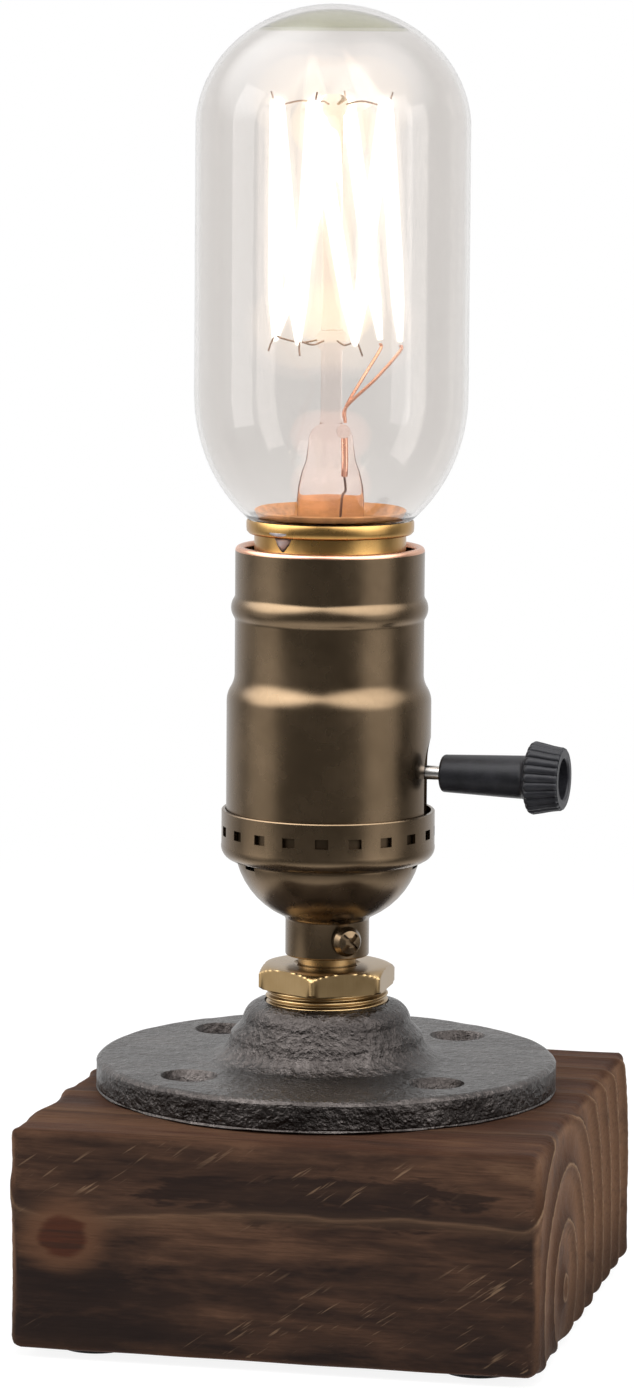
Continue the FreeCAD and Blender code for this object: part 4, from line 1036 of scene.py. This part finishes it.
TOP_HOOKS = (-177.6, -97.6, -12.6, 87.4)    # degrees about the stem
FOOT_HOOKS = (-183.6, -111.6, -54.6)
TOP_REACH, FOOT_REACH = 9.3, 9.7
LEAD_ENDS = ((9.6, 46.0), (11.3, 19.5))
LEAD_END_HEIGHT = 55.4
VIEW_TURN = 12.41          # the angle at which the lamp is seen, degrees from the front
CORE_LAYERS = ((0.6, (1.0, 0.88, 0.66), 11.0, 1.0), (1.25, (1.0, 0.97, 0.90), 1.8, 0.8))
HALO_LAYERS = ((2.1, (1.0, 0.93, 0.80), 60.0), (3.3, (1.0, 0.80, 0.64), 8.0))
HAZE_LAYERS = ((11.3, 54.0, 100.0, (1.0, 0.74, 0.42), 6.0), (12.9, 53.0, 101.5, (1.0, 0.76, 0.62), 4.2),
               (5.0, 29.0, 44.0, (1.0, 0.46, 0.32), 14.0), (3.6, 56.0, 96.0, (1.0, 0.78, 0.34), 26.0))
FLARES = ((-3.0, 0.0, -3.6, 9.0), (6.6, 0.0, 1.4, 9.2))    # across and above the cage's top, foot then tip


def filament_points():
    tops = [polar(TOP_REACH, a, CAGE_TOP + 0.3) for a in TOP_HOOKS]
    feet = [polar(FOOT_REACH, a, CAGE_FOOT - 0.3) for a in FOOT_HOOKS]
    first, last = [polar(r, a, LEAD_END_HEIGHT + 0.6) for r, a in LEAD_ENDS]
    return [last, tops[2], feet[2], tops[1], feet[1], tops[0], feet[0], tops[3], first]


def rounded(points, ease, steps=5):
    """Straight runs with each corner turned on a small curve."""
    path = [points[0]]
    for a, b, c in zip(points, points[1:], points[2:]):
        start, end = b + (a - b).normalized() * ease, b + (c - b).normalized() * ease
        for i in range(steps + 1):
            t = i / steps
            path.append(start * (1 - t) ** 2 + 2 * b * t * (1 - t) + end * t * t)
    return path + [points[-1]]


def glow_piece(piece, *replaced):
    """Dresses a piece of light, which casts no shadow."""
    piece.visible_shadow = False
    return dress(piece, BULB, "filament_glow", *replaced)


def filament():
    """The hot wire as a bright core in ever fainter shells, slimmer at the hooks."""
    path = rounded(filament_points(), 0.7)
    path = [a.lerp(b, i / 6) for a, b in zip(path, path[1:]) for i in range(6)] + [path[-1]]
    layers = [(r, glow_material(f"filament_glow_{i}", *look)) for i, (r, *look) in enumerate(CORE_LAYERS)]
    layers += [(r, halo_material(f"filament_halo_{i}", *look)) for i, (r, *look) in enumerate(HALO_LAYERS)]
    for i, (radius, glow) in enumerate(layers):
        def slim(point):
            lift = clip((point.z - CAGE_FOOT + 0.6) / 9.0)
            return radius * (0.3 + 0.7 * lift ** 0.7) if radius > 1 else radius * (0.5 + 0.5 * lift)

        tube = sweep(f"filament_{i}", path, radius, glow, 16, bulb_place, slim)
        glow_piece(tube, *(["filament"] if i == 0 else []))


def haze():
    """Soft light round the cage and the stem."""
    for i, (radius, low, top, colour, strength) in enumerate(HAZE_LAYERS):
        ease = min(10.0, (top - low) / 2 - 0.5)
        points = outline((0, low), (radius, low, radius, low + ease), (radius, top - ease),
                         (radius, top, 0, top))
        look = halo_material(f"haze_{i}", colour, strength)
        glow_piece(lathe(f"haze_{i}", points, look, 48, place=bulb_place))


def flares():
    """Tongues of light over the cage's top."""
    across = polar(1, VIEW_TURN, 0)
    look = halo_material("flare", (1.0, 0.80, 0.62), 75.0)

    def narrowing(point):
        return 0.15 + 2.2 * (1 - (point.z - CAGE_TOP) / 9.4) ** 0.8

    for i, (foot_x, foot_z, tip_x, tip_z) in enumerate(FLARES):
        foot = across * foot_x + upright(CAGE_TOP + foot_z)
        tip = across * tip_x + upright(CAGE_TOP + tip_z)
        path = [foot.lerp(tip, k / 8) for k in range(9)]
        glow_piece(sweep(f"flare_{i}", path, 2.2, look, 16, bulb_place, narrowing))


def support_wires():
    """Thin wires from the stem's buttons, each ending in a hook that holds the filament."""
    for label, angles, height, reach, sign in (("top", TOP_HOOKS, CAGE_TOP, TOP_REACH, 1),
                                               ("foot", FOOT_HOOKS, CAGE_FOOT, FOOT_REACH, -1)):
        bends = ((2.3, 0, 0), (reach * 0.55, 0, 0.5), (reach - 1.2, 0, -0.1), (reach - 0.2, 2, -0.5),
                 (reach + 0.5, 3, 0.6), (reach + 0.9, 5, 2.0))
        for i, angle in enumerate(angles):
            route = [polar(away, angle + turn, height + rise * sign) for away, turn, rise in bends]
            wire = sweep(f"{label}_support_{i}", smooth_path(route, 6), 0.15, dull_wire, 8, bulb_place)
            dress(wire, BULB, "support_wire", *([f"{label}_supports"] if i == 0 else []))


def leads():
    """Two copper leads that lean out of the pinch to the filament's ends."""
    across = polar(1, PINCH_ANGLE, 0)
    deep = Vector((-across.y, across.x, 0))
    for i, ((radius, angle), side) in enumerate(zip(LEAD_ENDS, (1, -1))):
        end = polar(radius, angle, LEAD_END_HEIGHT)
        start = across * 2.3 + deep * 0.5 * side + upright(PINCH_TOP + 0.7)
        knee = start + upright(2.6) + across * 0.15
        route = [start, knee, knee.lerp(end, 0.45) + across * (0.5 - 0.3 * side), end - upright(1.0), end]
        wire = sweep(f"lead_{i}", smooth_path(route), 0.27, copper, 10, bulb_place)
        dress(wire, BULB, "copper_wire", *(["lead_wires"] if i == 0 else []))
    sealed = [across * right - deep * back + upright(height)
              for right, back, height in ((2.2, 1.8, PINCH_TOP - 1.6), (2.3, 1.8, PINCH_TOP - 5.5),
                                          (2.2, 1.7, FLARE_TOP - 1.0))]
    dress(sweep("sealed_lead", smooth_path(sealed), 0.55, copper, 12, bulb_place), BULB, "copper_wire")
    tail = [sealed[-1]]
    for right, height in ((2.3, FLARE_TOP - 3.5), (1.7, FLARE_TOP - 5), (1.3, FLARE_TOP - 12), (1.4, 13)):
        tail.append(across * right + upright(height))
    dress(sweep("stem_tail", smooth_path(tail), 0.2, dull_wire, 10, bulb_place), BULB, "support_wire")


wood_block()
cast_flange()
bushing()
pierced_cap()
spun_shell()
knob()
envelope()
crown_shade_film()
screw_cap()
solder_drop()
glass_stem()
filament()
haze()
flares()
support_wires()
leads()


# ---------------------------------------------------------------- studio
CAMERA_DISTANCE, CAMERA_HEIGHT = 850.0, 214.0
PITCH, PAN, ROLL = 7.40, -0.134, 0.421     # degrees
LENS, SENSOR = 134.7, 36.0


def camera():
    turn, pitch, pan, roll = (math.radians(a) for a in (VIEW_TURN, PITCH, PAN, ROLL))
    forward = Vector((math.sin(pan) * math.cos(pitch), math.cos(pan) * math.cos(pitch), -math.sin(pitch)))
    right = Vector((math.cos(pan), -math.sin(pan), 0))
    up = right.cross(forward)
    rolled_right = right * math.cos(roll) + up * math.sin(roll)
    rolled_up = up * math.cos(roll) - right * math.sin(roll)
    basis = Matrix((rolled_right, rolled_up, -forward)).transposed()
    spin = Matrix.Rotation(turn, 3, "Z")
    place = spin @ Vector((0, -CAMERA_DISTANCE, 0)) + Vector((AXIS_X, AXIS_Y, CAMERA_HEIGHT))
    data = bpy.data.cameras.new("camera")
    data.lens, data.sensor_width, data.sensor_height = LENS, SENSOR, SENSOR
    data.sensor_fit = "AUTO"
    eye = put("camera", data)
    eye.matrix_world = Matrix.Translation(place * MM) @ (spin @ basis).to_4x4()
    bpy.context.scene.camera = eye


LAMP_AIM = 0.11           # metres above the floor


def softbox(name, degrees, distance, height, width, tall, power):
    """A soft light at an angle about the lamp, 0 being the camera's side and 90 its right, in metres."""
    turn = math.radians(degrees + VIEW_TURN - 90)
    place = Vector((distance * math.cos(turn), distance * math.sin(turn), height))
    data = bpy.data.lights.new(name, "AREA")
    data.shape, data.size, data.size_y, data.energy = "RECTANGLE", width, tall, power
    lamp = put(name, data)
    lamp.visible_glossy = False           # its sheen on metal and glass is the world's soft strips
    lamp.location = place
    lamp.rotation_euler = (upright(LAMP_AIM) - place).to_track_quat("-Z", "Y").to_euler()


AMBIENT, ROOM_SHEEN, BACK_SHEEN, TOP_SHEEN, FLOOR_SHEEN = 0.5, 0.20, 0.75, 1.1, 1.6
STRIP_FOOT = 0.55
GLOW_SPOTS = ((98.0, 50.0, 6.2), (-125.0, 50.0, 4.8))
GLOW_STRIPS = ((98.0, 1.8), (-119.0, 1.9))     # angle behind the lamp and strength of the tall soft lights


def world():
    """White where it is seen; dimmer as light, and as sheen brighter behind the lamp than in front."""
    sky = bpy.data.worlds.new("studio")
    bpy.context.scene.world = sky
    sky.use_nodes = True
    tree = sky.node_tree
    tree.nodes.clear()
    path = add(tree, "LightPath")
    seen = maths(tree, "MAXIMUM", path.outputs["Is Camera Ray"], path.outputs["Is Transmission Ray"])
    ray = add(tree, "TexCoord").outputs["Generated"]

    def toward(degrees, rise=0.0):
        """How far a ray points to an angle about the lamp, 0 being straight behind it, and a rise."""
        turn, rise = math.radians(VIEW_TURN + degrees), math.radians(rise)
        aim = (-math.sin(turn) * math.cos(rise), math.cos(turn) * math.cos(rise), math.sin(rise))
        return add(tree, "VectorMath", {"operation": "DOT_PRODUCT"}, in0=ray, in1=aim).outputs["Value"]

    def glow(value, low, high, strength):
        return times(tree, smooth_step(tree, value, low, high), strength)

    height = add(tree, "SeparateXYZ", Vector=ray).outputs["Z"]
    sheen = plus(tree, glow(toward(0), 0.05, 0.75, BACK_SHEEN), ROOM_SHEEN)
    rise = plus(tree, STRIP_FOOT, glow(height, -0.05, 0.5, 1 - STRIP_FOOT))
    rise = times(tree, rise, smooth_step(tree, height, 0.95, 0.75))
    for angle, strength in GLOW_STRIPS:
        sheen = plus(tree, sheen, times(tree, glow(toward(angle), 0.88, 0.985, strength), rise))
    for angle, lift, strength in GLOW_SPOTS:
        sheen = plus(tree, sheen, glow(toward(angle, lift), 0.62, 0.97, strength))
    for low, high, strength in ((0.5, 0.95, TOP_SHEEN), (-0.3, -0.9, FLOOR_SHEEN)):
        sheen = plus(tree, sheen, glow(height, low, high, strength))
    gloss = times(tree, path.outputs["Is Glossy Ray"], minus(tree, sheen, AMBIENT))
    light = plus(tree, AMBIENT, gloss)
    strength = plus(tree, light, times(tree, seen, minus(tree, 1.0, light)))
    back = add(tree, "Background", Color=WHITE, Strength=strength).outputs[0]
    tree.links.new(back, add(tree, "OutputWorld").inputs["Surface"])


FLOOR_HALF = 3.0          # metres
FADE_START, FADE_END = 0.2, 0.5            # where the lamp's shadow fades out on the floor


def floor():
    """Pale under the lamp and white further out; gloss and reflections pass through it."""
    corners = [(x * FLOOR_HALF, y * FLOOR_HALF, 0) for x, y in ((-1, -1), (1, -1), (1, 1), (-1, 1))]
    plane = new_object("studio_floor", corners, [(0, 1, 2, 3)], None)
    material, tree = new_material("studio_floor")
    shader = tree.nodes["Principled BSDF"]
    shader.inputs["Base Color"].default_value = (0.9, 0.9, 0.9, 1)
    shader.inputs["Roughness"].default_value = 0.8
    path = add(tree, "LightPath")
    seen = maths(tree, "MAXIMUM", path.outputs["Is Camera Ray"], path.outputs["Is Transmission Ray"])

    def blend(factor, a, b):
        return add(tree, "MixShader", in0=factor, in1=a, in2=b).outputs[0]

    white = add(tree, "Emission", Color=WHITE, Strength=0.88).outputs[0]
    pale = add(tree, "BsdfDiffuse", Color=(0.24, 0.24, 0.24, 1)).outputs[0]
    near = add(tree, "AddShader", in0=pale, in1=white).outputs[0]
    spot = add(tree, "TexCoord").outputs["Object"]
    away = add(tree, "VectorMath", {"operation": "LENGTH"}, in0=spot).outputs["Value"]
    far = add(tree, "Emission", Color=WHITE, Strength=1.0).outputs[0]
    lit = blend(smooth_step(tree, away, FADE_START, FADE_END), near, far)
    both = blend(seen, shader.outputs[0], lit)
    both = blend(path.outputs["Is Glossy Ray"], both, add(tree, "BsdfTransparent").outputs[0])
    tree.links.new(both, tree.nodes["Material Output"].inputs["Surface"])
    plane.data.materials.append(material)


camera()
world()
floor()
softbox("left", -82, 0.70, 0.26, 0.30, 0.70, 3.0)
softbox("right", 61, 0.75, 0.26, 0.26, 0.70, 2.6)
softbox("overhead", 15, 0.55, 0.85, 0.6, 0.6, 3.5)
bpy.context.scene.view_settings.view_transform = "Standard"
